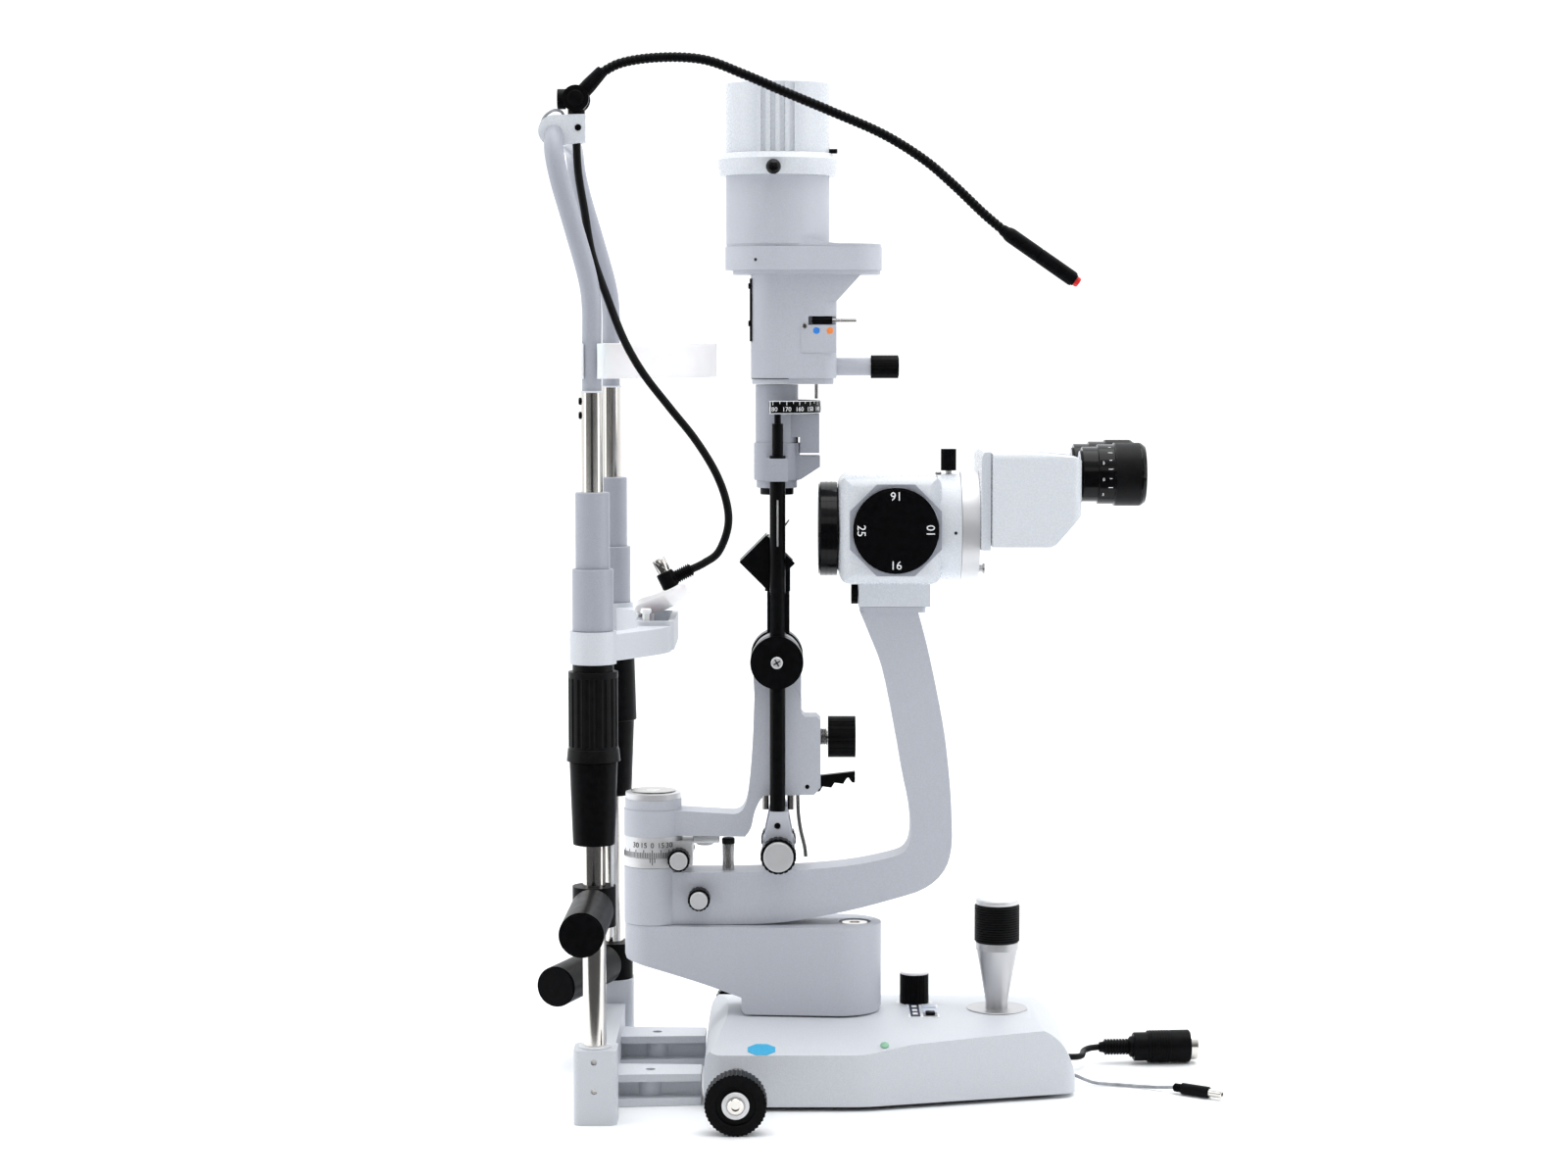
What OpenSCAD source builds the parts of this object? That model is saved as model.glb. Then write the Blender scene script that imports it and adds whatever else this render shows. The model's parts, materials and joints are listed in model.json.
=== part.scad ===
// Slit lamp: head rest, cross-slide base, lift, two swinging arms, lamp tower and microscope.
// X runs from the patient to the examiner, Y across the table, Z up.
// The origin is on the table top, below the common axis of the two arms.

/* [Head rest] */
// Distance between the two head rest columns
column_spacing = 230; // [220:1:240]
// Diameter of the lower chrome tubes
lower_tube_d = 15; // [13:0.5:16]
// Height of the top of the chrome tubes
tube_top_z = 472; // [466:1:474]
// Height of the strap that the forehead rests on
band_h = 23; // [16:1:26]
// Distance between the two table bolt holes
bolt_spacing = 117; // [110:1:120]
// Diameter of the table bolt holes
bolt_hole_d = 6.6; // [5.5:0.1:9]

/* [Base] */
// Width of the base at the patient's end
base_w = 182; // [170:1:184]
// Width of the base at the examiner's end
base_end_w = 108; // [96:1:120]
// Height of the middle of the base top
base_top_z = 50; // [48:0.5:50]
// Distance between the middles of the two wheels
wheel_track = 300; // [298:1:320]
// Diameter of the wheels
wheel_d = 40; // [30:1:40]

/* [Arms] */
// Radius of the round hubs on the arms' axis
hub_r = 20; // [18:0.5:21]
// Thickness of the microscope arm across the table
arm_t = 30; // [20:1:34]
// Distance from the arms' axis to the middle of the lamp tower
tower_x = 84; // [83.5:0.1:84.5]

/* [Lamp tower] */
// Diameter of the two black side rods
rod_d = 10.5; // [8:0.5:11]
// Height of the tower's tilting axis
pivot_z = 290; // [288:1:292]
// Radius of the lamp drum
drum_r = 34.6; // [30:0.1:36]

/* [Microscope] */
// Height of the microscope's optical axis
optic_z = 378; // [377:0.5:379]
// Radius of the objective ring
objective_r = 31.7; // [28:0.1:33]
// Radius of the magnification dials
dial_r = 28.5; // [27:0.5:30]
// Distance between the two eyepiece axes
eye_spacing = 64; // [62:1:66]

/* [Hidden] */
$fn = 64;

PAINT = "#d3d7e0";
BLACK = "#17181b";
CHROME = "#b9b4ae";
SATIN = "#d9d9dc";
WHITE = "#f2f3f6";

run = 0.05;     // radial clearance of a running fit
gap = 0.3;      // clearance between faces that pass each other

// head rest
column_x = -33.7;
column_y = column_spacing / 2;
lower_r = lower_tube_d / 2;
upper_r = 7;
frame_r = 6.25;
tube_foot_z = 20;
tube_step_z = 300;
block_top_z = 48.5;
flange_top_z = 21;
flange_tip_x = 34;
sleeve_z = 181;
grip_z = 235;
grip_top_z = 293;
chin_ring_z = 298;
chin_ring_top_z = 319;
sliding_top_z = 359;
guide_top_z = 408;
guide_r = 11;
sliding_r = 13.25;
cross_bar_x = -58;
cross_bar_z = 638;
holder_y = -95;
swivel_x = -44;
swivel_z = 649;
neck_pivot_z = 658.5;
near_handle_z = 141;
far_handle_z = 61.5;
handle_r = 14;

// base
base_x0 = 36;
base_x1 = 284;
taper_x = 133;
base_z0 = 3;
wall = 3.5;
cavity_top_z = 35;
axle_x = 58;
axle_z = 20;
axle_r = 9;
wheel_r = wheel_d / 2;
stick_x = 234;
ball_r = 16.5;
ball_z = base_top_z - ball_r;
knob_x = 178.5;
knob_y = 20;
post_x = 105;
post_r = 16;

// arms
block_top = 110;
spindle_r = 9;
ring_z = 149.3;
lug_y = 16;
lamp_hub_z = 170;
lamp_hub_top_z = 195;
tower_y = 24;
rod_r = rod_d / 2;
slit_knob_z = 161;
neck_z = 405.8;
rod_top = 411;
head_z = 475.5;
disc_z = 548.5;
drum_z = 576;
skirt_z = 614;
barrel_r = 14.4;
collar_r = 15.5;
collar_top_z = 436;
lamp_top_z = 679;
centering_z = 236.6;
latch_x = 104.5;
latch_z = 204;

// microscope
body_x0 = 125.3;
body_x1 = 194;
body_half = 40;
dial_x = 163;
eye_z = 416;
eye_y = eye_spacing / 2;
ring_x1 = 220.5;

// routes of the cords, from the exit to the far end
fixation_route = [
    [-44, -95, 631], [-43, -95, 612], [-39, -98, 588], [-34, -101, 560], [-24, -108, 532],
    [-13, -116, 505], [-1, -118, 484], [16, -118, 462], [32, -118, 442], [45, -118, 421],
    [52, -118, 402], [53, -118, 386], [47, -118, 370], [38, -118, 363], [30, -118, 359]];
power_route = [[284.2, 30, 9.5], [286.2, 30, 9.4], [291.5, 31.4, 9.1], [295.4, 35.3, 9], [296.9, 41, 9.3],
    [298.3, 46.7, 10], [302.2, 50.6, 10.8], [307.5, 52, 11.3], [309, 52.1, 11.4]];
dc_route = [[284.2, -14, 7], [285.6, -14, 6.9], [289, -14.3, 5.6], [294, -15, 3.6], [301, -16, 1.7],
    [315, -19, 1.3], [330, -24, 1.3], [342, -31, 2.2], [351, -38, 4]];
// route of the flexible arm of the fixation lamp
neck_route = [
    [-33, -95, 671.5], [-16, -96.5, 681], [10, -100, 684.5], [38, -100, 683], [63, -100, 674],
    [88.7, -100, 663], [120, -100, 650], [152, -100, 636], [178, -100, 620], [197, -100, 604],
    [216, -100, 586], [229, -100, 575]];
handle_end = [278, -100, 541];

// ---- shared shapes ----
function unit(v) = v / norm(v);
function spline(a, b, c, d, t) =
    0.5 * (2 * b + (c - a) * t + (2 * a - 5 * b + 4 * c - d) * t * t + (3 * b - a - 3 * c + d) * t * t * t);
// a smooth curve through the points of p, with n steps between each two
function curve(p, n) = [
    for (i = [0 : len(p) - 2], j = [0 : n - 1])
        spline(p[max(i - 1, 0)], p[i], p[i + 1], p[min(i + 2, len(p) - 1)], j / n),
    p[len(p) - 1]];
function heading(p, i) = unit(p[min(i + 1, len(p) - 1)] - p[max(i - 1, 0)]);
function hoop(p, i, r, sides, ref) =
    let (t = heading(p, i), u = unit(cross(t, ref)), v = cross(t, u))
    [for (k = [0 : sides - 1]) p[i] + r * (cos(360 * k / sides) * u + sin(360 * k / sides) * v)];

function arc(x, y, r, a0, a1, n) = [
    for (i = [0 : n]) let (a = a0 + (a1 - a0) * i / n) [x + r * cos(a), y + r * sin(a)]];

// a round tube swept along the points of p; ref is never parallel to the path
module tube(p, r, sides, ref = [0, 1, 0]) {
    n = len(p);
    skin = [for (i = [0 : n - 2], k = [0 : sides - 1])
        [(i + 1) * sides + k, (i + 1) * sides + (k + 1) % sides, i * sides + (k + 1) % sides, i * sides + k]];
    start = [for (k = [0 : sides - 1]) k];
    end = [for (k = [sides - 1 : -1 : 0]) (n - 1) * sides + k];
    polyhedron([for (i = [0 : n - 1]) each hoop(p, i, r, sides, ref)], concat([start], skin, [end]));
}

module block(x0, x1, y0, y1, z0, z1) {
    translate([x0, y0, z0]) cube([x1 - x0, y1 - y0, z1 - z0]);
}

module rod_z(r, z0, z1) {
    translate([0, 0, z0]) cylinder(h = z1 - z0, r = r);
}

module rod_y(r, y0, y1) {
    translate([0, y1, 0]) rotate([90, 0, 0]) cylinder(h = y1 - y0, r = r);
}

module rod_x(r, x0, x1) {
    translate([x0, 0, 0]) rotate([0, 90, 0]) cylinder(h = x1 - x0, r = r);
}

// an outline drawn in X and Z, as thick as the stretch from y0 to y1
module side_slab(y0, y1) {
    translate([0, y1, 0]) rotate([90, 0, 0]) linear_extrude(y1 - y0) children();
}

module plan_slab(z0, z1) {
    translate([0, 0, z0]) linear_extrude(z1 - z0) children();
}

// a rectangle with round corners, exact arcs
module round_rect(x0, x1, y0, y1, r) {
    translate([x0 + r, y0]) square([x1 - x0 - 2 * r, y1 - y0]);
    translate([x0, y0 + r]) square([x1 - x0, y1 - y0 - 2 * r]);
    for (x = [x0 + r, x1 - r], y = [y0 + r, y1 - r])
        translate([x, y]) circle(r);
}

// two round ends on the X axis and the straight sides between them
module capsule(xa, ra, xb, rb) {
    lean = asin((ra - rb) / (xb - xa));
    polygon(concat(arc(xa, 0, ra, 90 - lean, 270 + lean, 24), arc(xb, 0, rb, lean - 90, 90 - lean, 24)));
}

// a turned skirt with flutes, standing on z = 0
module fluted(r, h, flutes, flute_r) {
    difference() {
        cylinder(h = h, r = r);
        for (i = [0 : flutes - 1])
            rotate([0, 0, 360 * i / flutes]) translate([r + flute_r * 0.55, 0, -1])
                cylinder(h = h + 2, r = flute_r, $fn = 16);
    }
}

module at_columns() {
    for (y = [-column_y, column_y])
        translate([column_x, y, 0]) children();
}

// ---- head rest ----
// one foot block at each column, a cross member between them, and two flanges bolted to the table
module table_bracket() {
    flange_y = bolt_spacing / 2;
    color(PAINT) difference() {
        union() {
            for (y = [-column_y, column_y])
                plan_slab(0, block_top_z) translate([0, y])
                    round_rect(column_x - 13.3, column_x + 14.7, -13, 13, 4);
            block(column_x - 9, column_x + 9, -column_y + 12, column_y - 12, 4, 32);
            for (y = [-flange_y, flange_y]) {
                plan_slab(0, 5) polygon([[column_x + 5, y - 21], [column_x + 5, y + 21],
                    [flange_tip_x, y + 14], [flange_tip_x, y - 14]]);
                block(column_x + 5, flange_tip_x, y - 5, y + 5, 4, 17);
                plan_slab(16, flange_top_z) polygon([[column_x + 5, y - 17], [column_x + 5, y + 17],
                    [flange_tip_x, y + 14], [flange_tip_x, y - 14]]);
                translate([0, y, 0]) rod_z(9, 0, flange_top_z);
            }
        }
        for (y = [-flange_y, flange_y])
            translate([0, y, 0]) rod_z(bolt_hole_d / 2, -1, flange_top_z + 1);
        at_columns() rod_z(lower_r + run, tube_foot_z, block_top_z + 1);
        for (y = [-column_y - 14, column_y + 9], z = [22, 41])
            translate([column_x, 0, z]) rod_y(2, y, y + 5);
    }
}

module column_tubes() {
    color(CHROME) at_columns() {
        rod_z(lower_r, tube_foot_z, tube_step_z);
        rod_z(upper_r, tube_step_z, tube_top_z);
    }
}

// tapered black sleeves; the far one carries a fixed collar where the near one has the turning grip
module lower_sleeves() {
    color(BLACK) difference() {
        union() {
            at_columns() {
                translate([0, 0, sleeve_z]) cylinder(h = grip_z - sleeve_z, r1 = 13.5, r2 = 15.5);
            }
            translate([column_x, column_y, 0]) {
                translate([0, 0, grip_z]) cylinder(h = grip_top_z - grip_z, r1 = 17.3, r2 = 15.5);
                rod_z(sliding_r, grip_top_z, chin_ring_z - gap);
            }
        }
        at_columns() rod_z(lower_r + run, sleeve_z - 1, grip_z + 1);
        translate([column_x, column_y, 0]) rod_z(guide_r + run, grip_z - 1, chin_ring_z + 1);
    }
}

module guide_sleeves() {
    color(PAINT) at_columns() difference() {
        rod_z(guide_r, sliding_top_z - 4, guide_top_z);
        rod_z(upper_r + run, sliding_top_z - 5, guide_top_z + 1);
    }
}

// the painted tube that joins the columns above the head, and the block that holds the fixation lamp
module upper_frame() {
    half = [
        [column_x, -column_y, tube_top_z + run], [column_x, -column_y, 500],
        [column_x, -column_y, 526], [-36.5, -column_y, 546], [-46, -column_y, 580],
        [-53, -column_y, 604], [-57, -column_y + 3, 622], [cross_bar_x, -column_y + 13, 635],
        [cross_bar_x, -column_y + 30, cross_bar_z], [cross_bar_x, -45, cross_bar_z]];
    other = [for (i = [len(half) - 1 : -1 : 0]) [half[i][0], -half[i][1], half[i][2]]];
    color(PAINT) {
        tube(curve(concat(half, other), 3), frame_r, 16, [1, 0, 0]);
        difference() {
            union() {
                translate([cross_bar_x, 0, cross_bar_z]) rod_y(10, holder_y - 8, holder_y + 8);
                block(cross_bar_x, -38, holder_y - 8, holder_y + 8, 631, swivel_z - gap);
            }
            translate([cross_bar_x, 0, cross_bar_z]) rod_y(frame_r - 0.8, holder_y - 9, holder_y + 9);
        }
    }
}

// strap from column to column, wrapped round each of them
module forehead_band() {
    band_r = 128.6;
    thick = 3;
    middle_x = 44 - band_r;
    reach_a = 61;
    color(WHITE) plan_slab(480, 480 + band_h) difference() {
        union() {
            polygon(concat(arc(middle_x, 0, band_r, -reach_a, reach_a, 32),
                arc(middle_x, 0, band_r - thick, reach_a, -reach_a, 32)));
            for (s = [-1, 1]) translate([column_x, s * column_y]) {
                circle(9.4);
                rotate([0, 0, -s * 15]) translate([0, -1.7]) square([15, 3.4]);
            }
        }
        for (s = [-1, 1])
            translate([column_x, s * column_y]) circle(frame_r + 0.5);
    }
}

// ---- chin rest ----
module chin_arm() {
    color(PAINT) difference() {
        union() {
            at_columns() rod_z(15, chin_ring_z, chin_ring_top_z);
            plan_slab(chin_ring_z + 1, chin_ring_top_z - 3) difference() {
                capsule_bar();
                translate([-30, -34]) square([19, 68]);
            }
            plan_slab(300, 319) round_rect(-10, 16, -46, 46, 6);
        }
        at_columns() rod_z(lower_r + run, chin_ring_z - 1, chin_ring_top_z + 1);
        plan_slab(309, 320) round_rect(-6, 12, -42, 42, 4);
    }
}

// plan of the bar that bulges from the columns toward the middle
module capsule_bar() {
    polygon(concat(
        curve([[column_x, -column_y + 8], [-24, -90], [-10, -62], [-8, -40], [-8, 0],
            [-8, 40], [-10, 62], [-24, 90], [column_x, column_y - 8]], 5),
        curve([[column_x + 12, column_y - 4], [-6, 88], [10, 60], [14, 40], [14, 0],
            [14, -40], [10, -60], [-6, -88], [column_x + 12, -column_y + 4]], 5)));
}

// thin dished cup, its rim higher on the examiner's side
module chin_cup() {
    dish_r = 62;
    thick = 2.4;
    color(WHITE) {
        translate([4, 0, 321.6]) rotate([0, -16, 0]) intersection() {
            translate([0, 0, dish_r]) difference() {
                sphere(dish_r);
                sphere(dish_r - thick);
            }
            plan_slab(-1, 30) round_rect(-14, 24, -36, 36, 12);
        }
        for (y = [-37, 37])
            translate([-3, y, 0]) rod_z(2.4, 309, 326);
    }
}

module sliding_sleeves() {
    color(PAINT) at_columns() {
        difference() {
            rod_z(sliding_r, chin_ring_top_z, sliding_top_z);
            rod_z(guide_r + run, chin_ring_top_z - 1, sliding_top_z + 1);
        }
        difference() {
            rod_z(guide_r, grip_z + 5, chin_ring_z);
            rod_z(lower_r + run, grip_z + 4, chin_ring_z + 1);
        }
    }
}

// fluted ring that is turned to raise the chin rest
module height_grip() {
    flutes = 18;
    color(BLACK) translate([column_x, -column_y, 0]) difference() {
        union() {
            translate([0, 0, grip_z + gap]) cylinder(h = 8, r1 = 17.3, r2 = 16.5);
            rod_z(16, grip_z + 8, grip_top_z);
            rod_z(sliding_r, grip_top_z - 1, chin_ring_z - gap);
        }
        for (i = [0 : flutes - 1])
            rotate([0, 0, 360 * i / flutes]) translate([17.1, 0, 0])
                rod_z(2, grip_z + 10, grip_top_z - 4, $fn = 16);
        rod_z(guide_r + run, grip_z, chin_ring_z);
    }
}

// ---- handles ----
// a clamp round the column and a grip with a raised end cap, both made along -Y from the column
module handle(z) {
    clamp_h = 26;
    reach = 105;
    difference() {
        union() {
            rod_z(14, z - clamp_h / 2, z + clamp_h / 2);
            translate([0, 0, z]) rod_y(10, -24, -8);
            translate([0, 0, z]) rod_y(handle_r, -reach, -20);
            translate([0, 0, z]) rod_y(handle_r - 1, -reach - 1.5, -reach + 1);
        }
        rod_z(lower_r + run, z - clamp_h, z + clamp_h);
    }
}

module near_handle() {
    color(BLACK) translate([column_x, -column_y, 0]) rotate([0, 0, -1]) handle(near_handle_z);
}

module far_handle() {
    color(BLACK) translate([column_x, column_y, 0]) rotate([0, 0, -19]) handle(far_handle_z);
}

// ---- fixation lamp ----
// fork on a turning foot, with the clamp screw's cap at its back
module lamp_knuckle() {
    color(BLACK) translate([swivel_x, holder_y, 0]) {
        rod_z(5.5, swivel_z, 651.8);
        difference() {
            translate([0, 0, neck_pivot_z]) rod_y(8.5, -9, 9);
            block(-12, 12, -5.2, 5.2, 651.8, 680);
        }
        translate([0, 0, neck_pivot_z]) rod_x(6.5, -12, -6.8);
    }
}

module gooseneck() {
    color(BLACK) {
        translate([swivel_x, holder_y, neck_pivot_z]) {
            rod_y(6.5, -5, 5);
            rotate([0, 43, 0]) cylinder(h = 25, r1 = 4.9, r2 = 3.9);
        }
        tube(curve(neck_route, 3), 3.25, 10);
    }
}

module fixation_handle() {
    color(BLACK) tube([neck_route[len(neck_route) - 1], [231, -100, 573.6], [253, -100, 558.2],
        [274, -100, 543.8], handle_end], 4.9, 16);
}

module fixation_cord() {
    color(BLACK) tube(curve(fixation_route, 4), 2.6, 8);
}

// right-angle plug with a ribbed sleeve; the collar points up
module cord_plug() {
    tip = fixation_route[len(fixation_route) - 1];
    color(BLACK) translate(tip) rotate([0, -26, 0]) {
        rod_x(4.4, -15, 0);
        translate([-17, 0, 0]) rod_z(5.6, -5, 6);
        translate([-17, 0, 0]) rod_z(4.6, 6, 15);
    }
}

// ---- axle and wheels ----
module cross_axle() {
    color(CHROME) translate([axle_x, 0, axle_z]) rod_y(axle_r, -wheel_track / 2 + 9, wheel_track / 2 - 9);
}

// toothed rims with turned hubs, joined by the rod inside the axle tube
module wheels() {
    teeth = 44;
    color(BLACK) translate([axle_x, 0, axle_z]) {
        for (y = [-wheel_track / 2, wheel_track / 2])
            translate([0, y, 0]) difference() {
                rod_y(wheel_r, -8, 8);
                for (s = [-1, 1])
                    rod_y(13, s > 0 ? 6 : -9, s > 0 ? 9 : -6);
                for (i = [0 : teeth - 1])
                    rotate([0, 360 * i / teeth, 0]) translate([wheel_r + 0.5, 0, 0])
                        rod_y(1.1, -9, 9, $fn = 16);
            }
        for (s = [-1, 1])
            rod_y(9, s > 0 ? wheel_track / 2 + 5.8 : -wheel_track / 2 - 8.5,
                s > 0 ? wheel_track / 2 + 8.5 : -wheel_track / 2 - 5.8);
    }
}

// ---- base ----
module base_plan(inset) {
    h = base_w / 2 - inset;
    e = base_end_w / 2 - inset;
    r = 12;
    x0 = base_x0 + inset;
    x1 = base_x1 - inset;
    lean = atan((h - e) / (x1 - taper_x));
    edge = concat(
        arc(x0 + r, h - r, r, 180, 90, 6),
        arc(taper_x, h - 60, 60, 90, 90 - lean, 4),
        arc(x1 - r, e - r, r, 90 - lean, 0, 6));
    polygon(concat(edge, [for (i = [len(edge) - 1 : -1 : 0]) [edge[i][0], -edge[i][1]]]));
}

// outline of the side: round at the patient's end, falling in a curve at the examiner's end
function side_outline() = concat(
    [[base_x1, base_z0], [base_x0, base_z0]],
    curve([[base_x0, 27], [base_x0 + 2, 36], [base_x0 + 8, 44], [base_x0 + 16, base_top_z + 1]], 4),
    curve([[248, base_top_z + 1], [263, 46], [274, 37], [281, 24], [base_x1, 12]], 4));

// painted cover: flat sides, a shoulder and a crowned top
module base_cover() {
    crown_r = 460;
    crown_a = asin((base_w / 2 - 9) / crown_r);
    side_top = base_top_z - 9;
    color(PAINT) difference() {
        intersection() {
            plan_slab(base_z0, base_top_z + 2) base_plan(0);
            side_slab(-100, 100) polygon(side_outline());
            rotate([90, 0, 90]) linear_extrude(320) polygon(concat(
                [[100, 0], [100, side_top - 9]],
                arc(0, base_top_z - crown_r, crown_r, 90 - crown_a, 90 + crown_a, 10),
                [[-100, side_top - 9], [-100, 0]]));
        }
        difference() {
            intersection() {
                plan_slab(base_z0 - 1, cavity_top_z) base_plan(wall);
                block(base_x0 - 1, 268, -100, 100, 0, cavity_top_z);
            }
            translate([post_x, 0, 0]) rod_z(post_r + 7, 8, cavity_top_z + 1);
            translate([stick_x, 0, 0]) rod_z(ball_r + 4, 12, cavity_top_z + 1);
        }
        translate([axle_x, 0, axle_z]) rod_y(axle_r + run, -100, 100);
        translate([post_x, 0, 0]) rod_z(post_r + run, 7, base_top_z + 2);
        translate([stick_x, 0, 0]) rod_z(ball_r + gap, 11, base_top_z + 2);
        translate([knob_x, knob_y, 0]) rod_z(3 + run, 30, base_top_z + 2);
    }
}

// bottom plate and the two feet under the examiner's end
module base_plate() {
    color(BLACK) {
        plan_slab(base_z0, base_z0 + 2) intersection() {
            base_plan(wall + 0.2);
            translate([0, -100]) square([267.5, 200]);
        }
        for (x = [243, 262], y = [-32, 32])
            translate([x, y, 0]) rod_z(6, 0, base_z0);
    }
}

module brightness_knob() {
    color(BLACK) translate([knob_x, knob_y, 0]) {
        rod_z(3, 38, base_top_z);
        translate([0, 0, base_top_z]) fluted(10, 20, 20, 0.8);
    }
}

module joystick_ball() {
    color(SATIN) translate([stick_x, 0, ball_z]) intersection() {
        sphere(ball_r);
        rod_z(ball_r + 1, -12, ball_r + 1);
    }
}

module joystick_stem() {
    color(SATIN) translate([stick_x, 0, 0]) difference() {
        union() {
            rod_z(7.6, ball_z + 12, 55);
            translate([0, 0, 55]) cylinder(h = 36, r1 = 7.6, r2 = 14);
            rod_z(14.6, 91, 96);
        }
        translate([0, 0, ball_z]) sphere(ball_r + gap);
    }
}

module joystick_grip() {
    color(BLACK) translate([stick_x, 0, 0]) {
        translate([0, 0, 96 + run]) fluted(15.5, 26, 36, 0.7);
        rod_z(14.2, 122, 126);
        translate([0, 0, 126]) cylinder(h = 2, r1 = 14.2, r2 = 11);
    }
}

// ---- leads at the examiner's end ----
module power_cable() {
    color(BLACK) tube(curve(power_route, 3), 2.25, 8);
}

// tapered sleeve, round shell and bright tip, lying on the table
module power_connector() {
    start = power_route[len(power_route) - 1];
    color(BLACK) translate(start + [0.15, 0, 0]) rotate([0, 0, 4]) {
        rotate([0, 90, 0]) cylinder(h = 24, r1 = 3.4, r2 = 7.5);
        rod_x(10, 24, 34);
        rod_x(11.3, 34, 64);
        rod_x(9.6, 64, 69);
    }
}

module dc_lead() {
    color(BLACK) tube(curve(dc_route, 2), 1.15, 8);
}

module dc_plug() {
    start = dc_route[len(dc_route) - 1];
    color(BLACK) translate(start) rotate([0, 0, -36]) {
        rotate([0, 90, 0]) cylinder(h = 6, r1 = 2, r2 = 3.9);
        rod_x(3.9, 6, 27);
        rod_x(2.75, 27, 36.5);
    }
}

// ---- lift ----
// casting that carries both arms; it rises with the posts when the joystick is turned
module bearing_block() {
    foot_z = base_top_z + 0.5;
    bolt_x = 137;
    color(PAINT) difference() {
        intersection() {
            plan_slab(foot_z - 1, block_top) capsule(0, hub_r - 0.5, 126, 29);
            side_slab(-60, 60) polygon(concat(
                [[155, block_top], [-hub_r, block_top], [-hub_r, 90]],
                curve([[-hub_r + 2, 86], [4, 80], [34, 71], [60, 62]], 4),
                [[60, foot_z + 3], [63, foot_z], [152, foot_z], [155, foot_z + 3]]));
        }
        translate([bolt_x, 0, 0]) rod_z(11, block_top - 3, block_top + 1);
        rod_z(spindle_r + run, 80, block_top + 1);
        translate([post_x, 0, 0]) rod_z(post_r - 4 + run, foot_z - 1, block_top - 16);
    }
    color(CHROME) translate([bolt_x, 0, 0]) difference() {
        rod_z(8.7, block_top - 3, block_top - 0.6);
        rod_z(4, block_top - 2, block_top, $fn = 6);
    }
}

// the lift post that slides in the base, and the spindle that both arms turn on
module guide_posts() {
    color(CHROME) {
        translate([post_x, 0, 0]) {
            rod_z(post_r, 9, base_top_z + 0.4);
            rod_z(post_r - 4, base_top_z + 0.4, block_top - 18);
        }
        rod_z(spindle_r, 84, 192);
    }
}

// ---- microscope arm ----
// a C from the arms' axis, under the tower and up to the microscope
module microscope_arm() {
    outer = curve([[0, 110.3], [22, 110.3], [60, 110.6], [89, 112], [129, 119], [162, 127.5], [184, 135],
        [197, 147], [202, 163], [202, 185], [200.5, 209], [197, 240], [191.5, 270], [185, 300],
        [179, 322.5]], 3);
    inner = curve([[140, 322.5], [146, 308], [155, 284], [163, 246], [169, 212], [173.5, 190],
        [174.5, 172], [171, 161], [160, 156], [130, 150.2], [89, 147], [50, 146], [22, 146], [0, 146]], 3);
    half = arm_t / 2;
    color(PAINT) difference() {
        union() {
            rod_z(hub_r, block_top + gap, ring_z - gap);
            side_slab(-half, half) polygon(concat(outer, inner));
            plan_slab(322.5, 326) round_rect(140, 184, -17, 17, 3);
        }
        rod_z(spindle_r + run, block_top - 1, ring_z + 1);
        translate([31.5, 0, 129]) rod_y(2.5 + run, -16, -9);
    }
}

// fluted lock knob with a satin cap, its axis along -Y
module lock_knob(r, length) {
    rotate([90, 0, 0]) {
        color(CHROME) rod_z(2.5, -6, 0);
        color(BLACK) fluted(r, length, 16, 0.8);
        color(SATIN) rod_z(r - 1.6, length, length + 2.2);
    }
}

module arm_lock_knob() {
    translate([31.5, -arm_t / 2 - 1.5, 129]) lock_knob(7.5, 11);
}

// ---- illumination arm ----
// hub, level beam and the riser that ends in the round tilting boss
module illumination_arm() {
    half = 14;
    bottom_z = 198.3;
    color(PAINT) difference() {
        union() {
            rod_z(hub_r, lamp_hub_z, 188);
            rod_z(hub_r - 0.7, 188, lamp_hub_top_z);
            side_slab(-13, 13) polygon(concat(
                [[0, lamp_hub_z + 1], [0, 188.3], [20, 187.5]],
                curve([[55, 185.4], [60.5, 188], [64.5, 199], [67.5, 232], [68.7, 262]], 3),
                [[75, 276], [93, 276], [100.5, 264], [100.5, 254], [103, 251.5], [111, 251.5],
                    [113.5, 249]],
                [[113.5, 203.5], [109, bottom_z]],
                curve([[79, bottom_z], [73.5, 196], [69, 187], [66.5, 176], [62.5, lamp_hub_z]], 3)));
            translate([tower_x, 0, pivot_z]) rod_y(16.6, -half, half);
            side_slab(-11, 11) polygon([[69, 262], [67.6, 290], [100.4, 290], [100.4, 262]]);
        }
        rod_z(spindle_r + run, 160, 192.2);
        translate([tower_x, 0, pivot_z]) rod_y(5 + run, -half - 1, half + 1);
        translate([0, 0, centering_z]) rod_x(4 + run, 95, 120);
        block(98, 120, -3.3, 3.3, 197, 212);
        translate([latch_x, 0, latch_z]) rod_y(1.5 + run, -14, 9.5);
    }
}

// silver ring with the angle scale and its clamp lug, and the domed cap on top of the hub
module degree_ring() {
    dome_r = 130;
    color(SATIN) difference() {
        union() {
            rod_z(hub_r, ring_z, lamp_hub_z);
            block(14, 27, -lug_y, 11, ring_z + 1, lamp_hub_z - 3);
        }
        rod_z(spindle_r + run, ring_z - 1, lamp_hub_z + 1);
        translate([18, 0, 156]) rod_y(2.5 + run, -lug_y - 1, -lug_y + 6);
    }
    color(SATIN) intersection() {
        translate([0, 0, 200.4 - dome_r]) sphere(dome_r, $fn = 160);
        rod_z(hub_r - 1.2, lamp_hub_top_z, 202);
    }
}

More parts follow.
